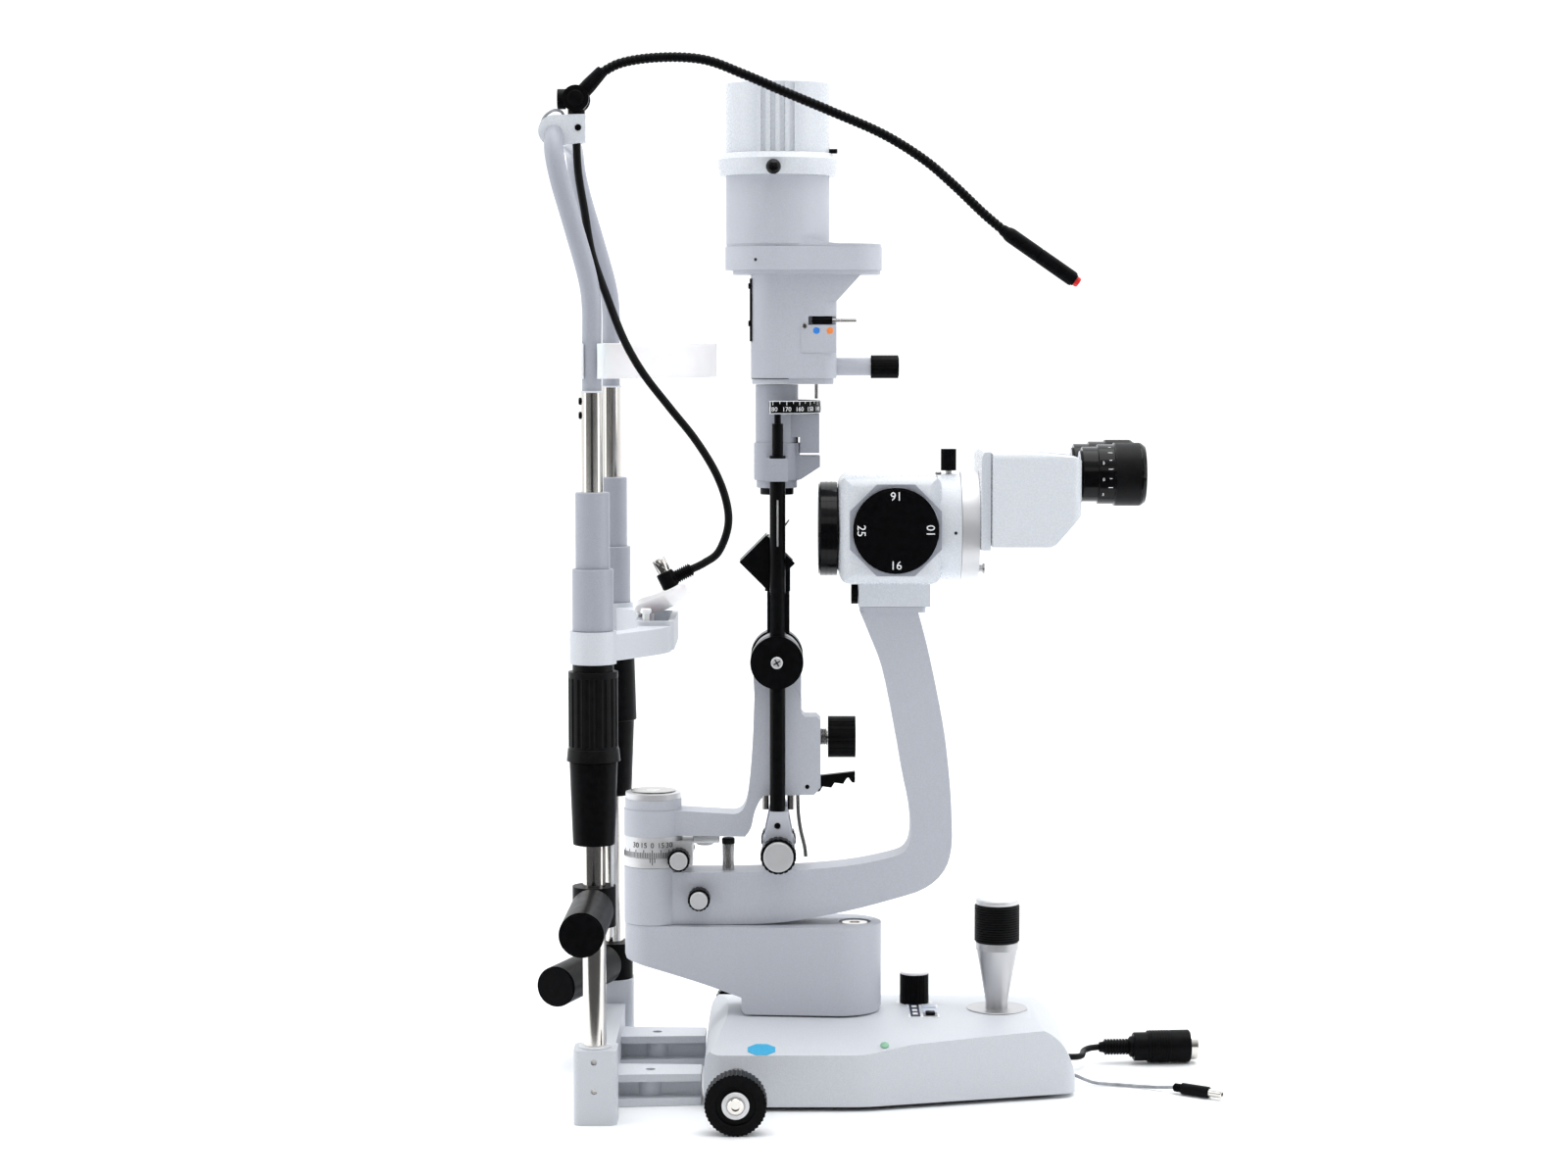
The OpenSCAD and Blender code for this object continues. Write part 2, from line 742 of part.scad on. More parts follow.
module lamp_lock_knob() {
    translate([18, -lug_y - 1.5, 156]) lock_knob(7.5, 11);
}

// ---- lamp tower ----
// two black side rods with the tilting discs, joined below the lens by the mirror carrier
module tower_rods() {
    disc_r = 17.8;
    color(BLACK) {
        for (s = [-1, 1]) {
            translate([tower_x + 0.5, s * tower_y, 0]) difference() {
                rod_z(rod_r, 189.5, rod_top);
                translate([0, s * rod_r, 0]) block(-1.2, 1.2, -1.4, 1.4, 367, 399);
            }
            translate([tower_x, 0, pivot_z])
                rod_y(disc_r, s > 0 ? 16 : -32, s > 0 ? 32 : -16);
            translate([tower_x + 0.5, s * tower_y, 0]) {
                rod_z(5.4, rod_top + 15.2, rod_top + 17);
                rod_z(3.7, rod_top - 1, 449.4);
                rod_z(2.2, 449.4, 455.5);
            }
        }
        translate([tower_x, 0, pivot_z]) rod_y(5, -16, 16);
        block(77.5, 92.5, -tower_y, tower_y, 309.5, 336);
        translate([tower_x, 0, 0]) rod_z(11.3, 402, neck_z);
    }
}

// black block that holds the 45-degree mirror between the rods
module slit_mirror() {
    middle = [77.5, 356];
    size = 27;
    color(BLACK) {
        translate([middle[0], 0, middle[1]]) rotate([0, 45, 0])
            block(-size / 2, size / 2, -17.5, 17.5, -size / 2 + 0.5, size / 2 - 0.5);
        block(76, 93, -10, 10, 336.3, 357);
    }
}

// housings of the slit-width drive at the feet of the rods, joined by a bar
module gearbox() {
    color(PAINT) difference() {
        union() {
            for (s = [-1, 1])
                side_slab(s > 0 ? 18 : -30, s > 0 ? 30 : -18)
                    polygon([[79.5, 189.3], [91, 189.3], [94.5, 170], [94.5, 161], [75.5, 161], [75.5, 170]]);
            for (s = [-1, 1])
                translate([tower_x + 1, 0, slit_knob_z]) rod_y(11, s > 0 ? 18 : -31, s > 0 ? 31 : -18);
            block(80.5, 92, -18, 18, 172, 186);
        }
        translate([tower_x + 1, 0, slit_knob_z]) rod_y(3 + run, -40, 40);
    }
}

module slit_width_knobs() {
    translate([tower_x + 1, 0, slit_knob_z]) {
        color(CHROME) rod_y(3, -34, 34);
        for (s = [0, 1])
            mirror([0, s, 0]) translate([0, -31.3, 0]) rotate([90, 0, 0]) {
                color(BLACK) fluted(12, 11, 20, 1);
                color(SATIN) rod_z(10, 11, 14);
            }
    }
}

// barrel above the lens: collar and the blocks that clamp the two rods
module tower_neck() {
    color(PAINT) difference() {
        union() {
            translate([tower_x, 0, 0]) {
                rod_z(barrel_r, neck_z + 5, head_z - 0.5);
                rod_z(collar_r, 411, collar_top_z);
                rod_z(collar_r - 1.8, neck_z, 411);
            }
            block(76.5, 91.6, -31, 31, rod_top, rod_top + 15.2);
        }
        translate([tower_x, 0, 0]) rod_z(9, neck_z - 1, head_z);
        for (s = [-1, 1])
            translate([tower_x + 0.5, s * tower_y, 0]) rod_z(3.7 + run, rod_top - 1, 430);
    }
}

// filter pocket: the foot below and the plate above, both fitted to the barrel
module filter_pocket() {
    color(PAINT) difference() {
        union() {
            side_slab(-9, 9) polygon([[90, 411.3], [100, 411.5], [113, 420], [113, 427.5], [99, 427.5],
                [99, collar_top_z], [90, collar_top_z]]);
            side_slab(-11, 11) polygon([[90, 440], [99.5, 440], [99.5, 429.3], [112.5, 429.3],
                [112.5, 455.6], [90, 455.6]]);
        }
        translate([tower_x, 0, 0]) rod_z(collar_r, 400, collar_top_z);
        translate([tower_x, 0, 0]) rod_z(barrel_r, 400, 460);
        block(70, 91.6, -31, 31, rod_top - 1, rod_top + 15.2);
    }
}

// curved black plate with the degrees of the slit's rotation
module angle_scale() {
    inner_r = 27;
    thick = 2.5;
    color(BLACK) {
        translate([tower_x, 0, 456]) rotate([0, 0, -100]) rotate_extrude(angle = 200)
            translate([inner_r, 0]) square([thick, 8.6]);
        for (a = [-55, 0, 55])
            translate([tower_x, 0, 456]) rotate([0, 0, a]) block(barrel_r + 0.1, inner_r + 1, -3, 3, 0, 2.4);
    }
}

// black knob on its sprung shaft
module centering_knob() {
    translate([0, 0, centering_z]) {
        color(CHROME) rod_x(4, 100, 119);
        color(BLACK) translate([118.6, 0, 0]) rotate([0, 90, 0]) fluted(14, 18.6, 28, 0.9);
    }
}

// ratchet bar with saw teeth below, on its cross pin
module tilt_latch() {
    tooth = 8;
    color(BLACK) {
        translate([latch_x, 0, latch_z]) rod_y(1.5, -12.8, 9);
        side_slab(-2.8, 2.8) polygon(concat(
            [[102, 199], [102, 209], [137, 213], [137, 205.5], [135, 205.5], [132.5, 209]],
            [for (i = [0 : 2]) each [[131 - i * tooth, 208 - i * 2.6], [129 - i * tooth, 204.6 - i * 2.6]]]));
    }
}

// ---- rotating head of the tower ----
module head_body() {
    color(PAINT) {
        difference() {
            union() {
                plan_slab(head_z + 4, 531) union() {
                    translate([tower_x + 1.5, 0]) circle(19);
                    round_rect(tower_x - 4, 124, -19, 19, 9);
                }
                plan_slab(head_z, head_z + 4) union() {
                    translate([tower_x + 1.5, 0]) circle(18.2);
                    round_rect(tower_x - 2, 122, -17, 17, 8);
                }
                side_slab(-19, 19)
                    polygon([[tower_x, 530.9], [124, 530.9], [140, disc_z], [tower_x, disc_z]]);
                translate([tower_x + 1.5, 0, 0]) rod_z(19, 530.9, disc_z);
                translate([0, 0, 487]) rod_x(6, 110, 147);
            }
            translate([tower_x, 0, 0]) rod_z(8.9, head_z - 1, disc_z + 1);
            translate([0, 0, 487]) rod_x(2.5 + run, 130, 150);
            block(105, 126, -20, -13, 515.2, 520.8);
        }
    }
    color(CHROME) translate([110.7, 0, 0]) rod_z(1.3, 465.6, head_z);
}

// teardrop lamp carrier and the drum above it
module lamp_drum() {
    far_x = 131;
    color(PAINT) {
        plan_slab(disc_z + 3, 567) capsule(tower_x, drum_r, far_x, 23.5);
        plan_slab(disc_z + run, disc_z + 3) capsule(tower_x + 1, drum_r - 4, far_x, 22.5);
        plan_slab(567, 569) capsule(tower_x, drum_r - 0.8, far_x, 22.8);
        difference() {
            side_slab(-drum_r, drum_r) polygon(concat([[tower_x - drum_r, 568.9]],
                curve([[tower_x - drum_r, 576], [90, 575.9], [103, 573.5], [116, 570], [128, 568.9]], 3)));
            difference() {
                plan_slab(560, 580) translate([40, -50]) square([120, 100]);
                plan_slab(560, 580) capsule(tower_x, drum_r - 0.8, far_x, 22.8);
            }
        }
        translate([tower_x + 0.6, 0, 0]) rod_z(drum_r, 568.9, skirt_z);
    }
}

// flared skirt, round cover with ribs on its sides, ball screw and pin
module lamp_cover() {
    ribs = 5;
    color(PAINT) translate([tower_x + 0.6, 0, 0]) difference() {
        union() {
            translate([0, 0, skirt_z + run]) cylinder(h = 6, r1 = 38.6, r2 = 40);
            rod_z(40, skirt_z + 6, skirt_z + 11);
            translate([0, 0, skirt_z + 11]) cylinder(h = 4, r1 = 40, r2 = 36.6);
            rod_z(drum_r + 0.4, skirt_z + 10, lamp_top_z - 4);
            translate([0, 0, lamp_top_z - 4]) cylinder(h = 4, r1 = drum_r + 0.4, r2 = drum_r - 3);
            for (side = [-90, 90], i = [0 : ribs - 1])
                rotate([0, 0, side + (i - (ribs - 1) / 2) * 10])
                    block(drum_r - 3, drum_r + 2.2, -1.5, 1.5, skirt_z + 12, lamp_top_z - 5);
        }
        rod_z(drum_r - 2.5, skirt_z - 1, lamp_top_z - 3);
        for (i = [0 : 5])
            rotate([0, 0, 60 * i]) translate([19, 0, 0]) rod_z(2.2, lamp_top_z - 4, lamp_top_z + 1);
    }
    color(BLACK) translate([tower_x + 0.6, 0, 0]) {
        translate([0, 0, 618.5]) rotate([0, 0, -93.5]) {
            rod_x(2, 39, 42);
            translate([45, 0, 0]) sphere(5);
        }
        translate([0, 0, 630.5]) rotate([0, 0, -10]) rod_x(1.6, 34.5, 40.3);
    }
}

// lever that slides between the filter marks
module filter_lever() {
    translate([0, -16.4, 518]) {
        color(BLACK) rod_x(2.5, 107.5, 121);
        color(CHROME) rod_x(1.2, 121, 137);
    }
}

module aperture_knob() {
    translate([147.2, 0, 487]) rotate([0, 90, 0]) {
        color(CHROME) rod_z(2.5, -12, 0);
        color(BLACK) fluted(7.8, 18.4, 12, 0.8);
    }
}

// ---- microscope ----
// rounded cube with the drum's bore, the mount block below, the white ring behind and the rear plate
module microscope_body() {
    mid = (body_x0 + body_x1) / 2;
    high = 415.7;
    low = 342.3;
    color(PAINT) difference() {
        union() {
            intersection() {
                side_slab(-body_half, body_half) translate([0, low])
                    round_rect(body_x0, body_x1, 0, high - low, 9);
                plan_slab(low - 1, high + 1) round_rect(body_x0, body_x1, -body_half, body_half, 14);
                translate([0, 0, low]) rotate([90, 0, 90]) linear_extrude(300)
                    round_rect(-body_half, body_half, 0, high - low, 12);
            }
            block(139, 187, -18, 18, 326.3, low + 0.5);
            translate([0, 0, optic_z + 1]) rod_x(36, body_x1 - 2, 207.3);
            side_slab(-44, 44) polygon([[219.5, 366], [219.5, 427], [221.5, 431], [225.8, 431],
                [225.8, 366]]);
        }
        translate([dial_x, 0, optic_z + 1]) rod_y(25 + run, -50, 50);
        for (y = [-12, 12])
            translate([0, y, optic_z]) rod_x(9, 120, 230);
        translate([199.7, 0, 0]) rod_z(2 + run, 405, 420);
        translate([0, 0, 333.7]) rod_x(2 + run, 130, 160);
    }
}

module objective_ring() {
    color(BLACK) translate([0, 0, optic_z]) difference() {
        union() {
            rod_x(objective_r, 113, 124.6);
            rod_x(objective_r - 1.2, 112, 113.1);
            rod_x(objective_r - 4, 124.5, body_x0);
        }
        rod_x(25, 111, 116);
        for (y = [-12, 12])
            translate([0, y, 0]) rod_x(9, 110, 130);
    }
}

// two numbered dials on the shaft of the five-step lens drum
module magnification_drum() {
    color(BLACK) translate([dial_x, 0, optic_z + 1]) {
        difference() {
            union() {
                rod_y(25, -body_half - 0.4, body_half + 0.4);
                for (s = [0, 1])
                    mirror([0, s, 0]) {
                        rod_y(dial_r, -body_half - 4.6, -body_half - 0.3);
                        rod_y(dial_r - 1.2, -body_half - 5.4, -body_half - 4.6);
                    }
            }
            for (a = [0, 90]) rotate([0, a, 0]) for (y = [-12, 12])
                translate([0, y, 0]) rod_x(8, -30, 30);
            for (s = [0, 1])
                mirror([0, s, 0]) difference() {
                    rod_y(19, -body_half - 6, -body_half - 2.4);
                    block(-6.5, 6.5, -body_half - 7, 0, -20, 20);
                }
        }
    }
}

// satin ring between the microscope body and the binocular plate
module binocular_ring() {
    color(SATIN) translate([0, 0, optic_z + 2]) difference() {
        rod_x(36.7, 207.5, 219.3);
        rod_x(24, 206, 220);
    }
    color(SATIN) translate([0, -22, 352.5]) rod_x(2.4, 219.4, 223);
}

// prism housing of one eye, made for the near side
module housing() {
    inner = 9;
    outer = 57;
    color(PAINT) difference() {
        intersection() {
            side_slab(-outer, -inner) polygon([[226.3, 368.8], [226.3, 430], [227.5, 431], [257, 430],
                [283, 427.5], [285, 425.5], [285, 390], [268, 370.5], [264.5, 368.8]]);
            translate([0, -outer, 363]) rotate([90, 0, 90]) linear_extrude(300)
                round_rect(0, outer - inner, 0, 69, 6);
            plan_slab(360, 440) round_rect(220.3, 285, -outer, -inner, 7);
        }
        translate([0, -eye_y, eye_z]) rod_x(8, 245, 286);
    }
    color(BLACK) translate([0, -eye_y, eye_z]) difference() {
        rod_x(15.5, 285, 294.8);
        rod_x(11, 284.5, 295.5);
    }
}

module near_housing() {
    housing();
}

module far_housing() {
    mirror([0, 1, 0]) housing();
}

// eyepiece: focusing ring with the scale, then the rubber cup
module eyepiece() {
    color(BLACK) translate([0, -eye_y, eye_z]) difference() {
        union() {
            rod_x(18.2, 286.5, 296.6);
            rod_x(19.8, 296.6, 307.4);
            rod_x(20.9, 307.4, 325.3);
            translate([325.3, 0, 0]) rotate([0, 90, 0]) cylinder(h = 3, r1 = 20.9, r2 = 18.8);
        }
        rod_x(15.8, 285.5, 295.1);
        rod_x(12, 295, 329);
        translate([319.3, 0, 0]) rotate([0, 90, 0]) cylinder(h = 9.1, r1 = 12, r2 = 16);
    }
}

module near_eyepiece() {
    eyepiece();
}

module far_eyepiece() {
    mirror([0, 1, 0]) eyepiece();
}

module mount_knob() {
    translate([138.7, 0, 333.7]) rotate([0, -90, 0]) {
        color(CHROME) rod_z(2, -14, 0);
        color(BLACK) fluted(6.7, 4.5, 12, 0.8);
    }
}

module top_knob() {
    color(CHROME) translate([199.7, 0, 0]) rod_z(2, 408, 418.3);
    color(BLACK) translate([199.7, 0, 417.3]) fluted(5.2, 14.5, 12, 0.7);
}

table_bracket();
column_tubes();
lower_sleeves();
guide_sleeves();
upper_frame();
forehead_band();
chin_arm();
chin_cup();
sliding_sleeves();
height_grip();
near_handle();
far_handle();
lamp_knuckle();
gooseneck();
fixation_handle();
fixation_cord();
cord_plug();
cross_axle();
wheels();
base_cover();
base_plate();
brightness_knob();
joystick_ball();
joystick_stem();
joystick_grip();
power_cable();
power_connector();
dc_lead();
dc_plug();
bearing_block();
guide_posts();
microscope_arm();
arm_lock_knob();
illumination_arm();
degree_ring();
lamp_lock_knob();
tower_rods();
slit_mirror();
gearbox();
tower_neck();
filter_pocket();
angle_scale();
slit_width_knobs();
centering_knob();
tilt_latch();
head_body();
lamp_drum();
lamp_cover();
filter_lever();
aperture_knob();
microscope_body();
objective_ring();
magnification_drum();
binocular_ring();
near_housing();
far_housing();
near_eyepiece();
far_eyepiece();
mount_knob();
top_knob();
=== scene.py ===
"""Looks of the slit lamp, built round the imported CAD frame.

Places are vectors in metres, and mm() makes one from millimetres. Profiles, outlines, and the radii,
bevels, widths and thicknesses that the building functions take are in millimetres.
"""
import json
import math

import bmesh
import bpy
from mathutils import Matrix, Vector
from mathutils.bvhtree import BVHTree


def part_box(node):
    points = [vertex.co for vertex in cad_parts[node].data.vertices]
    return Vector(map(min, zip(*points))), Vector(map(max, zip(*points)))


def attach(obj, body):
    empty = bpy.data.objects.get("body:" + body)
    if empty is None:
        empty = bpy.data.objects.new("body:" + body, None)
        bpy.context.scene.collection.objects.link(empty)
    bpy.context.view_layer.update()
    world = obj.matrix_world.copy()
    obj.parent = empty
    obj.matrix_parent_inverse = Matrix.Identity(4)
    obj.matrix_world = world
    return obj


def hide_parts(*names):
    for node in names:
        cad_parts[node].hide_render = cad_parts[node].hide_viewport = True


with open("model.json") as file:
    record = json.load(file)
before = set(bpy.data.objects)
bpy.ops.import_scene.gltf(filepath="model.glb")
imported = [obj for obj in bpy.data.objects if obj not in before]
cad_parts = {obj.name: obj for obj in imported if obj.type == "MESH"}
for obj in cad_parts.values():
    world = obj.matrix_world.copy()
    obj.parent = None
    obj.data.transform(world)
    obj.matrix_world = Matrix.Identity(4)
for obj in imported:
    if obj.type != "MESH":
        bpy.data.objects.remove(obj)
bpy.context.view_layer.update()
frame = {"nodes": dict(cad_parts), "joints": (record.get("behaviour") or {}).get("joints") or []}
nodes = frame["nodes"]
joints = {j["name"]: j for j in frame["joints"]}
MM = 0.001
SIDES = ((-1, "near"), (1, "far"))


# ---------------------------------------------------------------- shared places, all from the frame
def pivot(joint):
    return Vector(joints[joint]["pos_m"])


COLUMN_X = pivot("near_handle_swing").x
COLUMN_Y = abs(pivot("near_handle_swing").y)
DRUM = pivot("magnification_turn")
STICK = pivot("joystick_lean_x")


def configure(thing, **values):
    """Sets attributes of a new data block, object or modifier."""
    for name, value in values.items():
        setattr(thing, name, value)
    return thing


# ---------------------------------------------------------------- procedural materials
def set_inputs(node, **values):
    """Sets a shader node's inputs; an underscore in a name stands for a space."""
    for socket, value in values.items():
        node.inputs[socket.replace("_", " ")].default_value = value
    return node


class Shader:
    """A Principled material whose colour, roughness and bump come from noise in object space."""

    def __init__(self, name, colour, rough, metal=0.0, **sockets):
        self.material = bpy.data.materials.new(name)
        self.material.use_nodes = True
        self.tree = self.material.node_tree
        self.bsdf = self.tree.nodes["Principled BSDF"]
        set_inputs(self.bsdf, Metallic=metal, Base_Color=(*colour, 1), Roughness=rough, **sockets)
        self.colour, self.rough = colour, rough
        self.coords = self.tree.nodes.new("ShaderNodeTexCoord").outputs["Object"]
        self.last_normal = None

    def node(self, kind, **values):
        return set_inputs(self.tree.nodes.new("ShaderNode" + kind), **values)

    def noise(self, scale, detail, stretch=(1, 1, 1)):
        mapping = self.node("Mapping", Scale=stretch)
        self.tree.links.new(self.coords, mapping.inputs["Vector"])
        tex = self.node("TexNoise", Scale=scale, Detail=detail, Roughness=0.5)
        self.tree.links.new(mapping.outputs["Vector"], tex.inputs["Vector"])
        return tex.outputs["Fac"]

    def vary_colour(self, value, spread):
        """Lightens and darkens the base colour by the share in spread."""
        dark = tuple(c * (1 - spread) for c in self.colour)
        light = tuple(min(1, c * (1 + spread)) for c in self.colour)
        ramp = self.node("ValToRGB")
        for element, place, colour in zip(ramp.color_ramp.elements, (0.35, 0.65), (dark, light)):
            configure(element, position=place, color=(*colour, 1))
        self.tree.links.new(value, ramp.inputs["Fac"])
        self.tree.links.new(ramp.outputs["Color"], self.bsdf.inputs["Base Color"])

    def vary_rough(self, value, spread):
        """Moves the roughness up and down by spread."""
        dull, bright = min(1, self.rough + spread), max(0.02, self.rough - spread)
        reach = self.node("MapRange", To_Min=bright, To_Max=dull)
        self.tree.links.new(value, reach.inputs["Value"])
        self.tree.links.new(reach.outputs["Result"], self.bsdf.inputs["Roughness"])

    def bump(self, value, strength, depth):
        bump = self.node("Bump", Strength=strength, Distance=depth)
        self.tree.links.new(value, bump.inputs["Height"])
        if self.last_normal is not None:
            self.tree.links.new(self.last_normal, bump.inputs["Normal"])
        self.last_normal = bump.outputs["Normal"]
        self.tree.links.new(self.last_normal, self.bsdf.inputs["Normal"])


def paint(name, colour, rough, grain):
    """Sprayed texture paint: a fine pebbled coat with dull and bright specks."""
    s = Shader(name, colour, rough, Specular_IOR_Level=0.45)
    s.vary_colour(s.noise(1500, 2), 0.05)
    s.vary_rough(s.noise(700, 2), 0.08)
    s.bump(s.noise(1400, 2), grain, 0.00012)
    s.bump(s.noise(110, 2), 0.05, 0.0003)
    return s.material


def plastic(name, colour, rough, grain, coat=0.0, level=0.22):
    """Moulded or turned black part: spark texture, a little dust in the roughness."""
    s = Shader(name, colour, rough, Coat_Weight=coat, Coat_Roughness=0.12, Specular_IOR_Level=level, IOR=1.3)
    s.vary_colour(s.noise(260, 3), 0.25)
    s.vary_rough(s.noise(90, 4), 0.07)
    s.bump(s.noise(2600, 2), grain, 0.00006)
    return s.material


def rubber(name, colour, rough):
    """Matt black or grey rubber and cable jackets, uneven and a little rough."""
    s = Shader(name, colour, rough, Sheen_Weight=0.02, Sheen_Roughness=0.4, Specular_IOR_Level=0.25, IOR=1.3)
    s.vary_colour(s.noise(180, 3), 0.2)
    s.vary_rough(s.noise(60, 3), 0.06)
    s.bump(s.noise(1500, 3), 0.3, 0.0001)
    return s.material


def metal(name, colour, rough, stretch, scratch, scale=900, share=1.0):
    """Plated, ground or anodised metal: fine lines along the way it was turned or drawn."""
    s = Shader(name, colour, rough, share)
    s.vary_colour(s.noise(40, 3), 0.04)
    s.vary_rough(s.noise(scale, 3, stretch), 0.06)
    s.bump(s.noise(scale, 3, stretch), scratch, 0.00004)
    return s.material


def white_part(name, colour, rough, coat):
    """White strap or moulding that lets a little light through."""
    s = Shader(name, colour, rough, Coat_Weight=coat, Coat_Roughness=0.2, Subsurface_Weight=0.15,
               Subsurface_Scale=0.004)
    s.vary_colour(s.noise(60, 2), 0.015)
    s.vary_rough(s.noise(40, 2), 0.04)
    s.bump(s.noise(900, 2), 0.06, 0.00004)
    return s.material


def glass(name, colour, tint):
    """Coated lens: dark glass with a coloured anti-reflection film."""
    s = Shader(name, colour, 0.02, 0.0, Coat_Weight=1.0, Coat_Roughness=0.02, Specular_IOR_Level=0.8)
    set_inputs(s.bsdf, Coat_Tint=(*tint, 1), Thin_Film_Thickness=420)
    s.vary_colour(s.noise(30, 2), 0.3)
    s.bump(s.noise(20, 1), 0.02, 0.0001)
    return s.material


def print_ink(name, colour, rough=0.5):
    """Screen-printed or enamelled mark, slightly uneven."""
    s = Shader(name, colour, rough)
    s.vary_colour(s.noise(900, 2), 0.08)
    s.bump(s.noise(1200, 2), 0.1, 0.00003)
    return s.material


MAT = {name: make(name, *values) for name, make, *values in (
    ("paint", paint, (0.57, 0.59, 0.63), 0.45, 0.35),
    # A darker copy of the same paint: painted shade on the arms, blocks, gearbox, head, lamp drum and filter
    # plates.
    ("arm_paint", paint, (0.475, 0.49, 0.54), 0.45, 0.35),
    # A lighter, glossier copy of the same paint: the lower roughness is the gloss, the lighter colour is
    # painted light, on the covers, housings, microscope body, lamp holder and tube joints.
    ("gloss_paint", paint, (0.64, 0.665, 0.705), 0.27, 0.10),
    # A still darker copy of the same paint: painted shade on the column sleeves, frame tube, lamp neck,
    # filter pocket and dial facings.
    ("shade_paint", paint, (0.34, 0.355, 0.405), 0.34, 0.12),
    ("trim_paint", paint, (0.66, 0.68, 0.71), 0.34, 0.2),
    ("black_metal", plastic, (0.0035, 0.0035, 0.004), 0.30, 0.12, 0.0, 0.16),
    ("black_gloss", plastic, (0.003, 0.003, 0.0035), 0.15, 0.05, 0.15),
    ("black_plastic", plastic, (0.0035, 0.0035, 0.004), 0.34, 0.15, 0.0, 0.12),
    ("grip", rubber, (0.005, 0.005, 0.0055), 0.36),
    ("rubber", rubber, (0.005, 0.005, 0.0055), 0.45),
    ("chrome", metal, (0.70, 0.67, 0.63), 0.12, (1, 1, 0.02), 0.06),
    ("satin", metal, (0.70, 0.70, 0.71), 0.40, (1, 1, 0.05), 0.05, 900, 0.5),
    ("turned", metal, (0.68, 0.68, 0.69), 0.38, (0.05, 0.05, 1), 0.05, 1400, 0.5),
    ("stem", metal, (0.50, 0.50, 0.51), 0.34, (1, 1, 0.05), 0.05, 900, 0.8),
    ("steel", metal, (0.52, 0.51, 0.49), 0.26, (1, 1, 0.1), 0.10),
    ("cup", white_part, (0.88, 0.885, 0.89), 0.30, 0.4),
    ("strap", white_part, (0.86, 0.87, 0.885), 0.42, 0.1),
    ("lens", glass, (0.010, 0.012, 0.018), (0.75, 0.85, 1.0)),
    ("white_ink", print_ink, (0.80, 0.81, 0.82)),
    ("black_ink", print_ink, (0.012, 0.012, 0.014)),
    ("pale_ink", print_ink, (0.52, 0.57, 0.66)),
    ("navy_ink", print_ink, (0.015, 0.022, 0.055)),
    ("blue", print_ink, (0.02, 0.22, 0.72)),
    ("sticker", print_ink, (0.02, 0.36, 0.62), 0.35),
    ("orange", print_ink, (0.90, 0.25, 0.05)),
    ("green", print_ink, (0.22, 0.45, 0.30), 0.3),
    ("red", plastic, (0.55, 0.02, 0.02), 0.25, 0.05, 0.5),
    ("cable", rubber, (0.005, 0.005, 0.0055), 0.38),
    ("grey_cable", rubber, (0.30, 0.31, 0.33), 0.45))}


# ---------------------------------------------------------------- mesh building
def mm(x, y, z):
    return Vector((x, y, z)) * MM


def mms(points):
    return [mm(*p) for p in points]


def polar(angle, radius=1.0):
    """A vector in the XY plane, at an angle in degrees from X."""
    a = math.radians(angle)
    return Vector((math.cos(a), math.sin(a), 0)) * radius


def add_object(name, data):
    obj = bpy.data.objects.new(name, data)
    bpy.context.scene.collection.objects.link(obj)
    return obj


def finish_piece(obj, body, material):
    """Gives a new piece its material and body."""
    if material is not None:
        obj.data.materials.clear()
        obj.data.materials.append(MAT[material])
    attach(obj, body)
    return obj


def smooth_edges(mesh):
    """Smooth faces, and sharp edges wherever the faces meet at more than 32 degrees."""
    angle = math.radians(32)
    mesh.polygons.foreach_set("use_smooth", [True] * len(mesh.polygons))
    bm = bmesh.new()
    bm.from_mesh(mesh)
    for edge in bm.edges:
        edge.smooth = not (len(edge.link_faces) == 2 and edge.calc_face_angle(0) > angle)
    bm.to_mesh(mesh)
    bm.free()


def piece_from(name, bm, body, material, smooth=True):
    bmesh.ops.recalc_face_normals(bm, faces=bm.faces)
    mesh = bpy.data.meshes.new(name)
    bm.to_mesh(mesh)
    bm.free()
    obj = add_object(name, mesh)
    if smooth:
        smooth_edges(mesh)
    return finish_piece(obj, body, material)


def frame_at(origin, axis):
    """A matrix whose Z points along axis."""
    turn = Vector((0, 0, 1)).rotation_difference(Vector(axis).normalized())
    return Matrix.Translation(Vector(origin)) @ turn.to_matrix().to_4x4()


def lathe(bm, profile, origin, axis=(0, 0, 1), sides=48, wobble=None):
    """Turns the (radius, height) profile about axis. wobble(angle, height) scales the radius."""
    place = frame_at(origin, axis)
    rings = []
    for r, h in profile:
        if r < 0.001:
            rings.append([bm.verts.new(place @ mm(0, 0, h))])
            continue
        ring = []
        for i in range(sides):
            a = 2 * math.pi * i / sides
            k = r * (wobble(a, h) if wobble else 1)
            ring.append(bm.verts.new(place @ mm(k * math.cos(a), k * math.sin(a), h)))
        rings.append(ring)
    for low, high in zip(rings, rings[1:]):
        for i in range(sides):
            j = (i + 1) % sides
            corners = [low[i % len(low)], low[j % len(low)], high[j % len(high)], high[i % len(high)]]
            corners = [c for n, c in enumerate(corners) if c not in corners[:n]]
            if len(corners) > 2:
                bm.faces.new(corners)
    for ring, flip in ((rings[0], True), (rings[-1], False)):
        if len(ring) > 1:
            bm.faces.new(ring[::-1] if flip else ring)


def turned(name, body, material, profile, origin, axis=(0, 0, 1), sides=48, slot=None, wobble=None):
    """One turned piece."""
    bm = bmesh.new()
    lathe(bm, profile, origin, axis, sides, wobble)
    return piece_from(name, bm, body, material)


def disc(r, low, high):
    """Profile of a plain disc."""
    return [(0, low), (r, low), (r, high), (0, high)]


def hoop(inner, outer, low, high):
    """Profile of a ring with square edges."""
    return [(inner, low), (outer, low), (outer, high), (inner, high)]


